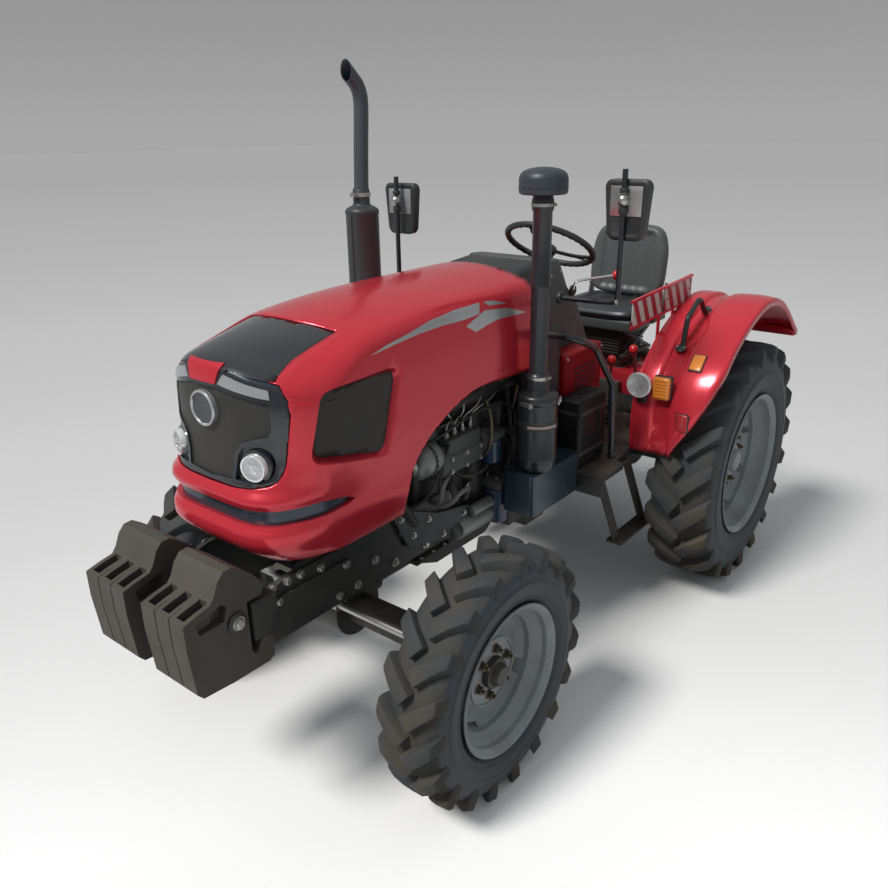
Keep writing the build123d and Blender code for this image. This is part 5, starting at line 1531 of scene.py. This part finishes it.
class TRACTOR_OT_console(bpy.types.Operator):
    """Builds the console: cowl behind the hood, instrument housing, dial panel, side covers and tanks"""

    bl_idname = "tractor.console"
    bl_label = "Console"

    def execute(self, context):
        bm = bmesh.new()
        # the cowl's shoulders draw in
        prism(bm, flank(COWL, -270), (540, 0, 0))
        cuts(bm, Z_AXIS, (1180, 1380))
        for vert in bm.verts:
            vert.co.x *= 1 - 0.34 * smooth_step((vert.co.z - 1150) / 340)
        soften_sharp(bm, list(bm.verts), 26, 5, 0.8)
        before = set(bm.verts)
        prism(bm, flank(HOUSING, -190), (380, 0, 0), 1)
        soften_sharp(bm, set(bm.verts) - before, 14, 4)
        # screws and the foot trim of the housing
        for side in (1, -1):
            spots = ((85, 1200), (85, 1460), (150, 1470), (300, 1260), (380, 1130))
            bolts(bm, (side, 0, 0), 9, 2, flank(spots, side * 190))
            box(bm, (side * 190.25 - 2.25, 100, 1180), (side * 190.25 + 2.25, 290, 1260), 1, 2)
        make_piece("console_body", bm, "charcoal console_plastic steel", "root", ["console"], 38,
            unit=MM)
        self.make_dials()
        self.make_covers()
        self.make_tanks()
        return {"FINISHED"}

    def make_dials(self):
        """Dial panel that faces the driver, with bezels, needles, lamps, switches and the key."""
        bm = bmesh.new()
        slope = Vector((0, 0.862, 0.507))
        panel = aim((0, 185, 1464), slope)
        box(bm, (-160, -52, -4), (160, 52, 4), 0, 3, 3, panel)
        for x, radius in ((-92, 34), (0, 40), (92, 34)):
            profile = ((radius + 4, 3), (radius + 4, 9), (radius, 11), (radius - 3, 7))
            lathe(bm, profile, panel @ Vector((x, 4, 0)), slope, 1, 40)
            rod(bm, panel @ Vector((x, 4, 3)), slope, radius - 2, 4, 2, 40)
            needle = panel @ turned((x, 4, 8.5), 0.9 - 0.008 * x, "Z")
            box(bm, (-1.2, -4, 0), (1.2, radius * 0.72, 1.5), 3, 0, 1, needle)
            for step in range(11):
                mark = panel @ turned((x, 4, 7.5), -2.2 + 0.44 * step, "Z")
                box(bm, (-0.7, radius * 0.78, 0), (0.7, radius * 0.9, 0.8), 5, 0, 1, mark)
        for number in range(5):
            rod(bm, panel @ Vector((30 * number - 60, -44, 2)), slope, 5, 4, 3 + number % 2, 16)
        # switches and the key on the lower slope
        lower = Vector((0, 0.682, 0.731)).normalized()
        shelf = aim((0, 262, 1366), lower)
        for x in (-130, -85, -40, 40, 85):
            box(bm, (x - 13, -20, -2), (x + 13, 20, 9), 2, 3, 2, shelf)
        rod(bm, shelf @ Vector((135, 0, -2)), lower, 13, 10, 1, 24, bevel=2)
        box(bm, (133.5, -10, 6), (136.5, 10, 30), 1, 1, 1, shelf)
        colours = "charcoal silver_trim black_gloss red_knob amber white_paint"
        make_piece("dial_panel", bm, colours, "root", unit=MM)

    def make_covers(self):
        """Red covers beside the housing, each with a raised middle and a vent; their red is the body red darkened as
        painted shade.
        """
        bm = bmesh.new()
        boxes(bm, (190, 62, 864, 283, 364, 1164, 0, 14, 4), (280, 92, 900, 285.5, 334, 1130, 0, 3))
        for z in range(1010, 1091, 20):
            box(bm, (284, 130, z), (286.4, 300, z + 8), 1)
        bolts(bm, X_AXIS, 10, 2, [(282.5, y, z) for y in (78, 350) for z in (885, 1145)])
        add_mirrored(bm)
        make_piece("cover_panels", bm, "red_inner black_gloss steel", "root", ["side_covers"], unit=MM)

    def make_tanks(self):
        """Black boxes on the platform, with straps, ribs and filler caps."""
        bm = bmesh.new()
        boxes(bm, (286, 5, 724, 391, 223, 1012, 0, 20, 5), (284.5, 3, 945, 392.5, 225, 962, 1, 3), (284.5, 3, 780,
            392.5, 225, 797, 1, 3))
        lathe(bm, ((0, 16), (24, 16), (30, 11), (30, 2), (26, -4)), (338, 60, 1002), Z_AXIS, 0, 32)
        add_mirrored(bm)
        for x in (388, -394):
            for y in (40, 95, 150, 190):
                box(bm, (x, y, 815), (x + 4.5, y + 18, 930), 0, 1)
        make_piece("tank_pair", bm, "tank_plastic chassis", "root", ["side_tanks"], unit=MM)


WHEEL_TILT = math.radians(32)


class TRACTOR_OT_steering_wheel(bpy.types.Operator):
    """Builds the steering wheel: finger-gripped rim, three spokes and a domed hub"""

    bl_idname = "tractor.steering_wheel"
    bl_label = "Steering wheel"

    def execute(self, context):
        ring = sizes().wheel_ring / MM
        way = Vector((0, math.sin(WHEEL_TILT), math.cos(WHEEL_TILT)))
        centre = Vector((0, 384, 1530))
        place = aim(centre, way)
        bm = bmesh.new()
        turns = [math.tau * step / 14 for step in range(14)]
        grip = [(ring + 13.5 * math.cos(turn), 13.5 * math.sin(turn)) for turn in turns]
        lathe(bm, grip, centre, way, 0, 96, closed=True)
        # finger grooves under the rim
        for vert in bm.verts:
            local = place.inverted() @ vert.co
            if local.z < -4:
                local.z += 1.6 * (1 + math.cos(math.atan2(local.y, local.x) * 36))
                vert.co = place @ local
        dome = ((0, 2), (20, 0), (31, -6), (35, -16), (34, -32), (28, -38), (0, -38))
        lathe(bm, dome, centre, way, 1, 48)
        for turn in (math.pi / 2, math.pi * 7 / 6, math.pi * 11 / 6):
            out = place.to_3x3() @ around(turn)
            for shift in (-7.5, 7.5):
                start = centre + out.cross(way) * shift
                runs = ((26, 20), (90, 19), (150, 10), (ring - 4, 0))
                pipe(bm, [start + out * far - way * down for far, down in runs], 5.2, 0, 12)
            spoke = place @ Matrix.Rotation(turn - math.pi / 2, 4, "Z")
            box(bm, (-4, 30, -22), (4, ring - 20, -18), 0, 1, 1, spoke)
        make_piece("steering_wheel_rim", bm, "charcoal black_gloss", "steering_wheel",
            ["steering_wheel"], 45, unit=MM)
        return {"FINISHED"}


def pad_shape(columns, rows):
    """A closed pad of unit size: a block cut into cells whose rim pulls in and whose faces crown."""
    bm = bmesh.new()
    bmesh.ops.create_cube(bm, size=2.0)
    cuts(bm, X_AXIS, [-1 + 2 * number / columns for number in range(1, columns)])
    cuts(bm, Y_AXIS, [-1 + 2 * number / rows for number in range(1, rows)])
    cuts(bm, Z_AXIS, (-0.6, -0.2, 0.2, 0.6))
    for vert in bm.verts:
        u, v, w = vert.co
        # rounded outline, and a rim that is thinner than the middle
        square = max(abs(u), abs(v), 1e-6)
        pull = square / (abs(u) ** 5 + abs(v) ** 5) ** 0.2 if square > 1e-6 else 1.0
        bulge = 1.0 - 0.06 * w * w * square ** 3
        edge = max(0.0, 1.0 - abs(u * pull) ** 6) * max(0.0, 1.0 - abs(v * pull) ** 6)
        vert.co = Vector((u * pull * bulge / 2, v * pull * bulge / 2, w * (0.74 + 0.26 * edge) / 2))
    return bm


def sewn(x, lines, width):
    """Depth, from 0 to 1, of the nearest sewn channel."""
    return max(math.exp(-((x - line) / width) ** 2) for line in lines)


# sewn lines across the cushion and up the back
CUSHION_SEAMS = (-135, -45, 45, 135)
BACK_SEAMS = (-100, -60, -20, 20, 60, 100)


class TRACTOR_OT_seat(bpy.types.Operator):
    """Builds the seat: padded cushion and back with sewn channels, pan, slides, bellows and its bridge"""

    bl_idname = "tractor.seat"
    bl_label = "Seat"

    def execute(self, context):
        low, high = cad_box("seat_cushion")
        bm = pad_shape(36, 30)
        for vert in bm.verts:
            u, v, w = vert.co
            x, z = u * (high.x - low.x), 1178 + w * 64
            if w > 0:
                inside = smooth_step((150 - abs(x)) / 20) * smooth_step((0.44 - abs(v)) / 0.05)
                z -= 5.5 * inside * sewn(x, CUSHION_SEAMS, 4.5)
                z -= 10 * smooth_step((155 - abs(x)) / 30) * smooth_step((0.4 - abs(v)) / 0.08)
                z -= 10 * smooth_step((-0.3 - v) / 0.2)
            vert.co = Vector((x, low.y + (v + 0.5) * (high.y - low.y), z))
        self.make_pad("seat_pad", bm, "vinyl_dark", "seat_cushion")

        bm = pad_shape(44, 34)
        for vert in bm.verts:
            u, v, w = vert.co
            # the pad's length stands up, and its front looks ahead
            x = u * 400 * (1 - 0.1 * smooth_step((v - 0.05) / 0.45))
            deep = w * 76
            if w < 0:
                inside = smooth_step((128 - abs(x)) / 16) * smooth_step((0.44 - abs(v)) / 0.05)
                deep += 5.5 * inside * sewn(x, BACK_SEAMS, 4)
                deep += 13 * smooth_step((140 - abs(x)) / 22) * smooth_step((0.42 - abs(v)) / 0.06)
            z = 1208 + (v + 0.5) * 338
            vert.co = Vector((x, 1121 + deep + 0.13 * (z - 1205), z))
        self.make_pad("seat_back_pad", bm, "vinyl", "seat_back")
        self.make_frame()
        return {"FINISHED"}

    def make_pad(self, name, bm, colour, node):
        piece = make_piece(name, bm, colour, "root", [node], 80, subsurf=1, unit=MM)

    def make_frame(self):
        """Pan, hinge plates, slides, bellows and the red bridge that the seat stands on."""
        bm = bmesh.new()
        # upright hinge plate between the cushion and the back
        outline = ((1020, 1100), (1160, 1100), (1172, 1270), (1140, 1280), (1110, 1170), (1020, 1150))
        soften_sharp(bm, prism(bm, flank(outline, 198), (8, 0, 0), 1), 3, 2)
        # slide rails and the scissor links of the suspension
        boxes(bm, (128, 815, 1076, 160, 1135, 1097, 2, 3), (128, 830, 957, 160, 1120, 974, 2, 3))
        lean = math.atan2(106, 250)
        for turn in (lean, math.pi - lean):
            box(bm, (-4, -132, -10), (4, 132, 10), 2, 2, 2, turned((150, 975, 1025), turn, "X"))
        for x, y, z, across in ((206, 1140, 1150, 20), (206, 1145, 1245, 14), (154, 975, 1025, 18)):
            bolt(bm, (x, y, z), X_AXIS, across, 3)
        add_mirrored(bm)
        # bellows with its folds
        for number in range(7):
            z = 972 + 15 * number
            box(bm, (-122, 838, z), (122, 1112, z + 10.5), 4, 4.5)
        # height lever and its knob
        pipe(bm, ((150, 870, 1060), (190, 850, 1060), (222, 830, 1066), (240, 800, 1072)), 6, 3, 12)
        rod(bm, (236, 812, 1070), (0.35, -0.9, 0.15), 12, 40, 5, 20, bevel=4)
        # pan, core of the bellows, and the bridge: a red plate with turned-down edges between the fenders' walls
        boxes(bm, (-196, 788, 1097, 196, 1165, 1150, 1, 10, 3), (-116, 845, 960, 116, 1105, 1090, 4, 4), (-438, 800,
            894, 438, 1140, 904, 0, 3), (-438, 796, 800, 438, 804, 903, 0, 3), (-438, 1136, 840, 438, 1144, 903, 0,
            3), (-128, 862, 903, 128, 1058, 958, 2, 6))
        bolts(bm, Z_AXIS, 14, 3, [(x, y, 904) for x in (-400, -300, 300, 400) for y in (840, 1100)])
        colours = "red_paint console_plastic chassis steel hose black_gloss"
        make_piece("seat_frame", bm, colours, "root", ["seat_base"], unit=MM)


# columns: foot X, foot Y, knob X, Y, Z, knob's colour
LEVERS = ((230, 560, 250, 520, 1040, 2), (-230, 560, -250, 520, 1040, 1), (330, 620, 330, 560, 1090, 2), (-330, 620,
    -330, 560, 1090, 1))
BOOT = ((34, 0), (34, 8), (26, 14), (28, 22), (20, 30), (22, 38), (14, 48), (7.5, 60))
KNOB = ((0, 21), (9, 20), (16, 14), (19.5, 5), (19.5, -4), (15, -13), (9, -19), (7.5, -24), (0, -24))


class TRACTOR_OT_controls(bpy.types.Operator):
    """Builds the hand levers with their boots, knobs and chrome rods, the hand throttle and the pedals"""

    bl_idname = "tractor.controls"
    bl_label = "Levers and pedals"

    def execute(self, context):
        bm = bmesh.new()
        for foot_x, foot_y, x, y, z, colour in LEVERS:
            foot = (foot_x, foot_y, 722)
            pipe(bm, (foot, (foot_x, foot_y, 860), (foot_x, foot_y, 920), (x, y, z)), 6.8, 0, 14)
            lathe(bm, BOOT, foot, Z_AXIS, 1, 28)
            lathe(bm, KNOB, (x, y, z), Z_AXIS, colour, 28)
        # hand throttle at the console's side
        rod(bm, (188, 250, 1380), X_AXIS, 22, 12, 1, 28, bevel=3)
        pipe(bm, ((196, 250, 1384), (204, 244, 1410), (214, 252, 1423), (296, 404, 1428)), 5.2, 0, 14)
        lathe(bm, [(0.82 * radius, 0.82 * along) for radius, along in KNOB], (300, 410, 1429), Z_AXIS, 2, 28)
        # brake and clutch pedals
        for x, half in ((245, 18), (292, 18), (-262, 22)):
            pipe(bm, ((x, 330, 850), (x, 372, 872), (x, 420, 868), (x, 448, 842)), 8, 3, 12)
            matrix = turned((x, 450, 846), -0.7, "X")
            box(bm, (-half, -34, -4), (half, 34, 6), 1, 3, 2, matrix)
            for rib in range(4):
                low = -27 + 15.5 * rib
                box(bm, (4 - half, low, 4), (half - 4, low + 7, 9), 1, 1, 1, matrix)
        make_piece("lever_set", bm, "chrome hose red_knob chassis", "root", ["levers"], 40, unit=MM)
        return {"FINISHED"}


class TRACTOR_OT_platform(bpy.types.Operator):
    """Builds the tread plates of the platform with their raised pattern"""

    bl_idname = "tractor.platform"
    bl_label = "Platform treads"

    def execute(self, context):
        bm = bmesh.new()
        for low in (222, -438):
            box(bm, (low, 236, 721.5), (low + 216, 740, 724.5), 0, 0.8)
            for row in range(15):
                for column in range(6):
                    turn = 0.785 if (row + column) % 2 else -0.785
                    matrix = turned((low + 26 + 33 * column, 258 + 32.5 * row, 724.5), turn, "Z")
                    box(bm, (-11, -2.8, -1), (11, 2.8, 2.2), 0, 0, 1, matrix)
            bolts(bm, Z_AXIS, 10, 1, [(x, y, 724.5) for y in (246, 730) for x in (low + 10, low + 206)])
        make_piece("platform_treads", bm, "tread_plate steel", "root", unit=MM)
        return {"FINISHED"}


# ---------- frame and cooling
# bolts through the rails that hold the weight hanger, the axle saddle and the engine, as (Y, Z)
RAIL_BOLTS = ((-1376, 792), (-1321, 789), (-1357, 740), (-1271, 788), (-1191, 772), (-1121, 640), (-1085, 735),
    (-1040, 640), (-956, 692), (-860, 640), (-820, 735), (-700, 640))


class TRACTOR_OT_frame(bpy.types.Operator):
    """Builds the bolts along the frame rails and the fins, border and cap of the radiator"""

    bl_idname = "tractor.frame"
    bl_label = "Frame fittings and radiator"

    def execute(self, context):
        bm = bmesh.new()
        bolts(bm, X_AXIS, 20, 0, flank(RAIL_BOLTS, 189.5))
        # a welded flange along the rail's upper edge
        box(bm, (189.5, -1385, 748), (200, -1080, 756), 1, 2)
        add_mirrored(bm)
        make_piece("rail_bolts", bm, "steel chassis", "root", unit=MM)
        bm = bmesh.new()
        for number in range(46):
            x = -180 + 8 * number
            box(bm, (x - 0.8, -1076, 1045), (x + 0.8, -1069, 1305))
        for number in range(14):
            z = 1050 + 19.2 * number
            box(bm, (-182, -1074, z - 2), (182, -1069, z + 2))
        boxes(bm, (-200, -1080, 1030, -182, -1068, 1328, 1, 2), (182, -1080, 1030, 200, -1068, 1328, 1, 2), (-200,
            -1080, 1306, 200, -1068, 1328, 1, 2))
        rod(bm, (90, -985, 1359), Z_AXIS, 24, 12, 1)
        rod(bm, (90, -985, 1371), Z_AXIS, 30, 12, 2, 12, bevel=2)
        for side in (1, -1):
            bolts(bm, (side, 0, 0), 14, 2, [(side * 150, -1160, z) for z in (870, 980)])
        make_piece("radiator_core", bm, "alloy black_tube steel", "root", unit=MM)
        return {"FINISHED"}


# ---------- engine bay
# columns: radius, slot, points of the run
HOSES = ((8.5, 3, ((200, -650, 780), (236, -668, 800), (243, -672, 842), (230, -635, 866), (208, -590, 858), (190,
    -560, 872))), (8.5, 3, ((206, -630, 762), (240, -620, 772), (246, -575, 805), (240, -520, 800), (215, -480, 775),
    (190, -470, 730))), (6.5, 1, ((222, -392, 885), (246, -392, 910), (250, -388, 980), (246, -386, 1040), (222, -384,
    1090))), (6, 4, ((215, -375, 955), (244, -350, 970), (240, -300, 940), (235, -262, 900), (232, -240, 850), (215,
    -230, 760))), (7, 4, ((205, -560, 872), (232, -545, 850), (235, -470, 838), (232, -400, 830), (212, -365, 836))),
    (10, 4, ((190, -340, 668), (226, -330, 690), (232, -270, 770), (226, -225, 840), (200, -200, 960), (170, -185,
    1120), (130, -180, 1185))), (4.5, 4, ((206, -820, 815), (240, -760, 830), (245, -700, 900), (236, -640, 950),
    (222, -600, 990))), (4.5, 4, ((190, -700, 1010), (222, -660, 1030), (235, -560, 1060), (238, -440, 1075), (236,
    -300, 1060), (226, -210, 1020), (200, -170, 960))))
# radiator hoses above and below, and the intake hose from the air cleaner
WIDE_HOSES = ((26, ((0, -800, 1132), (0, -840, 1150), (10, -880, 1240), (20, -915, 1300), (20, -945, 1310))), (24,
    ((150, -690, 700), (190, -760, 730), (200, -840, 850), (180, -900, 880), (160, -945, 880))), (28, ((192, -215,
    1118), (200, -185, 1125), (250, -190, 1130), (305, -235, 1130))))


class TRACTOR_OT_engine(bpy.types.Operator):
    """Builds the engine: ribbed block, head, covers, sump, fan, pulleys, pump, filters and starter"""

    bl_idname = "tractor.engine"
    bl_label = "Engine"

    def execute(self, context):
        self.make_block()
        self.make_front_drive()
        self.make_auxiliaries()
        self.make_lines()
        return {"FINISHED"}

    def make_block(self):
        bm = bmesh.new()
        # both flanks: cylinder bulges, core plugs, ribs, sump bolts and lugs of the head
        for y in (-625, -495, -365, -235):
            rod(bm, (118, y, 640), Z_AXIS, 62, 400, 0, 24)
            rod(bm, (176, y + 65, 760), X_AXIS, 21, 6, 1, 24, bevel=1)
            box(bm, (126, y - 35, 1110), (150, y + 25, 1165), 0, 6)
        for z in (620, 700, 960, 1030):
            box(bm, (148, -700, z), (172, -160, z + 12), 0, 3)
        bolts(bm, Z_AXIS, 13, 1, [(158, -690 + 66 * number, 566) for number in range(9)])
        add_mirrored(bm)
        # block with its flanges, head, rocker cover and exhaust manifold
        boxes(bm, (-150, -710, 560, 150, -150, 1080, 0, 6), (-165, -720, 548, 165, -150, 566, 0, 4), (-160, -716,
            1074, 160, -150, 1092, 0, 4), (-130, -700, 1088, 130, -160, 1190, 0, 8), (-82, -680, 1188, 102, -180,
            1204, 0, 4), (-74, -672, 1200, 94, -188, 1268, 0, 26, 5), (-212, -640, 1098, -128, -220, 1156, 0, 22, 4))
        # sump with its slanted ends
        sump = ((-670, 550), (-210, 550), (-210, 505), (-250, 480), (-560, 480), (-640, 512))
        prism(bm, flank(sump, -125), (250, 0, 0))
        # oil cap and studs
        lathe(bm, ((0, 34), (26, 34), (31, 28), (31, 10), (22, 6), (22, 0)), (10, -590, 1262), Z_AXIS, 1, 32)
        bolts(bm, Z_AXIS, 12, 1, [(x, y, 1204) for x in (-79, 99) for y in (-640, -510, -380, -250)])
        # inlet manifold
        for y in (-600, -480, -360, -250):
            pipe(bm, ((128, y, 1135), (165, y, 1135), (185, y, 1120)), 21, 0, 20)
        pipe(bm, ((192, -650, 1118), (192, -430, 1118), (192, -215, 1118)), 29, 0, 24)
        # timing cover
        cover = ((125, 740), (125, 1000), (75, 1080), (-75, 1080), (-125, 1000), (-125, 740), (-60, 660), (60, 660))
        prism(bm, [(x, -712, z) for x, z in cover], (0, -52, 0))
        spots = ((112, 760), (112, 980), (-112, 760), (-112, 980), (0, 1062), (55, 675), (-55, 675))
        bolts(bm, FORWARD, 14, 1, [(x, -764, z) for x, z in spots])
        make_piece("engine_block", bm, "engine_paint steel", "root", ["engine"], bevel=2, unit=MM)

    def make_front_drive(self):
        bm = bmesh.new()
        for x, z, radius in ((0, 1010, 62), (0, 780, 85), (190, 960, 36)):
            lathe(bm, ((0, 48), (radius * 0.4, 48), (radius * 0.45, 36), (radius, 36), (radius - 10, 26),
                (radius - 10, 22), (radius, 12), (radius, 8), (0, 0)), (x, -764, z), FORWARD, 0, 48)
            bolt(bm, (x, -812, z), FORWARD, 22)
        # belt runs between the pulleys
        belt = ((52, 1010), (0, 1064), (-58, 1010), (-76, 780), (0, 704), (70, 735), (216, 940), (205, 987), (52,
            1010))
        for (x, z), (next_x, next_z) in zip(belt, belt[1:]):
            pipe(bm, ((x, -788, z), (next_x, -788, next_z)), 5.5, 1, 8, straight=True)
        # fan: hub and six twisted blades
        rod(bm, (0, -812, 1010), FORWARD, 48, 34, 2, bevel=4)
        for number in range(6):
            verts = bmesh.ops.create_grid(bm, x_segments=3, y_segments=4, size=1.0)["verts"]
            paint(faces_of(verts), 3)
            for vert in verts:
                u, v = vert.co.x, (vert.co.y + 1) / 2
                wide, twist = u * (26 + 18 * v), 0.75 - 0.3 * v
                vert.co = (wide * math.cos(twist), 4 * u * u - wide * math.sin(twist) * 0.55, 40 + 145 * v)
            made = bmesh.ops.extrude_face_region(bm, geom=faces_of(verts))["geom"]
            bmesh.ops.translate(bm, vec=(0, 2.5, 0), verts=verts_in(made))
            matrix = turned((0, -838, 1010), math.tau * number / 6, "Y")
            bmesh.ops.transform(bm, matrix=matrix, verts=list(verts) + verts_in(made))
        make_piece("engine_fan_drive", bm, "steel hose engine_paint fan_plastic", "root", sharp=40,
            unit=MM)

    def make_auxiliaries(self):
        bm = bmesh.new()
        # spin-on filters with their heads: oil below, fuel above
        for x, y, low, high, radius in ((212, -300, 580, 722, 46), (208, -335, 835, 930, 40)):
            lathe(bm, ((0, low), (radius * 0.72, low + 1), (radius * 0.94, low + 8), (radius, low + 22), (radius,
                high - 20), (radius * 1.04, high - 16), (radius * 1.04, high - 6), (radius * 0.9, high), (0, high)),
                (x, y, 0), Z_AXIS, 0, 48)
            box(bm, (145, y - 42, high), (x + 40, y + 42, high + 32), 1, 8, 3)
            bolt(bm, (x, y, high + 32), Z_AXIS, 18, 2)
        # injection pump, thermostat housing
        boxes(bm, (150, -610, 872, 226, -400, 945, 1, 12, 3), (158, -598, 940, 218, -412, 996, 1, 6), (-45, -770,
            1085, 45, -690, 1150, 1, 14, 3))
        for number in range(4):
            y = -575 + 47 * number
            rod(bm, (188, y, 992), Z_AXIS, 10, 22, 2, 6)
            rod(bm, (188, y, 1012), Z_AXIS, 6, 12, 2, 16)
        bolts(bm, X_AXIS, 12, 2, [(226, y, z) for y in (-590, -505, -420) for z in (885, 932)])
        # pump ends, starter with its solenoid, water pump; columns: place, direction, radius, depth, slot, sides, bevel
        for place, way, radius, depth, slot, sides, bevel in (((188, -610, 925), FORWARD, 58, 50, 1, 40, 4), ((188,
            -400, 925), Y_AXIS, 46, 60, 1, 40, 6), ((190, -330, 625), FORWARD, 40, 200, 3, 40, 4), ((190, -532, 625),
            FORWARD, 33, 40, 1, 32, 4), ((215, -350, 682), FORWARD, 22, 120, 3, 32, 3), ((0, -712, 1010), FORWARD, 70,
            50, 1, 40, 8), ((0, -765, 1125), (0, -1, 0.2), 26, 40, 1, 32, 0)):
            rod(bm, place, way, radius, depth, slot, sides, bevel=bevel)
        # alternator with its ribs
        lathe(bm, ((0, 0), (30, 0), (52, 10), (60, 22), (60, 90), (54, 106), (28, 116), (0, 116)), (190, -762, 960),
            Y_AXIS, 3, 48)
        for number in range(12):
            way = around(math.tau * number / 12).xzy
            matrix = aim(Vector((190, -700, 960)) + way * 58.5, way)
            box(bm, (-4, -30, -1), (4, 30, 3.5), 1, 1, 1, matrix)
        # bracket plate towards the frame
        bracket = ((-868, 800), (-866, 838), (-640, 742), (-470, 708), (-454, 640), (-573, 618), (-803, 674))
        prism(bm, flank(bracket, 196), (10, 0, 0), 4)
        spots = ((-840, 795), (-780, 712), (-700, 742), (-620, 652), (-500, 690), (-500, 650))
        bolts(bm, X_AXIS, 16, 2, flank(spots, 206))
        make_piece("engine_auxiliaries", bm, "filter_blue casting steel alloy plate_grey", "root",
            bevel=1.5, unit=MM)

    def make_lines(self):
        bm = bmesh.new()
        # injector lines
        for number in range(4):
            y, end = -575 + 47 * number, -630 + 130 * number
            pipe(bm, ((188, y, 1020), (190, y, 1048), (212, y + 10, 1072), (222, (y + end) / 2, 1090), (205, end,
                1165), (165, end, 1215), (118, end, 1190)), 3.4)
            rod(bm, (118, end, 1180), Z_AXIS, 9, 20, 0, 6)
        # dipstick
        pipe(bm, ((158, -200, 760), (180, -205, 900), (215, -190, 1040), (225, -185, 1120)), 5, 1, 12)
        lathe(bm, ((6, 1118), (10, 1124), (10, 1134), (0, 1138)), (226, -185, 0), Z_AXIS, 2, 16)
        for radius, slot, points in HOSES:
            pipe(bm, points, radius, slot, 14)
        for radius, points in WIDE_HOSES:
            pipe(bm, points, radius, 4, 24)
        make_piece("engine_lines", bm, "steel zinc red_knob grey_hose hose", "root", sharp=50,
            unit=MM)


# ---------- panel and registration
PIECE_OPERATORS = (TRACTOR_OT_stage, TRACTOR_OT_kept_nodes, TRACTOR_OT_tyres, TRACTOR_OT_rims, TRACTOR_OT_hood,
    TRACTOR_OT_fenders, TRACTOR_OT_fender_fittings, TRACTOR_OT_weights, TRACTOR_OT_air_cleaner, TRACTOR_OT_exhaust,
    TRACTOR_OT_mirrors, TRACTOR_OT_console, TRACTOR_OT_steering_wheel, TRACTOR_OT_seat, TRACTOR_OT_controls,
    TRACTOR_OT_platform, TRACTOR_OT_frame, TRACTOR_OT_engine)


class TRACTOR_PT_panel(bpy.types.Panel):
    """Lists the tractor's settings and the operators that build its pieces"""

    bl_idname = "TRACTOR_PT_panel"
    bl_label = "Farm Tractor"
    bl_space_type = "VIEW_3D"
    bl_region_type = "UI"
    bl_category = "Farm Tractor"

    def draw(self, context):
        layout = self.layout
        for group in (context.scene.tractor_sizes, context.scene.tractor_finishes):
            column = layout.column(align=True)
            for name in group.__annotations__:
                column.prop(group, name)
        column = layout.column(align=True)
        for operator in PIECE_OPERATORS:
            column.operator(operator.bl_idname)


CLASSES = (TractorFinishes, TractorSizes, *PIECE_OPERATORS, TRACTOR_PT_panel)


def register():
    for item in CLASSES:
        bpy.utils.register_class(item)
    bpy.types.Scene.tractor_finishes = PointerProperty(type=TractorFinishes)
    bpy.types.Scene.tractor_sizes = PointerProperty(type=TractorSizes)


def unregister():
    del bpy.types.Scene.tractor_sizes
    del bpy.types.Scene.tractor_finishes
    for item in reversed(CLASSES):
        bpy.utils.unregister_class(item)


def main():
    register()
    for operator in PIECE_OPERATORS:
        area, name = operator.bl_idname.split(".")
        getattr(getattr(bpy.ops, area), name)()


if __name__ == "__main__":
    main()
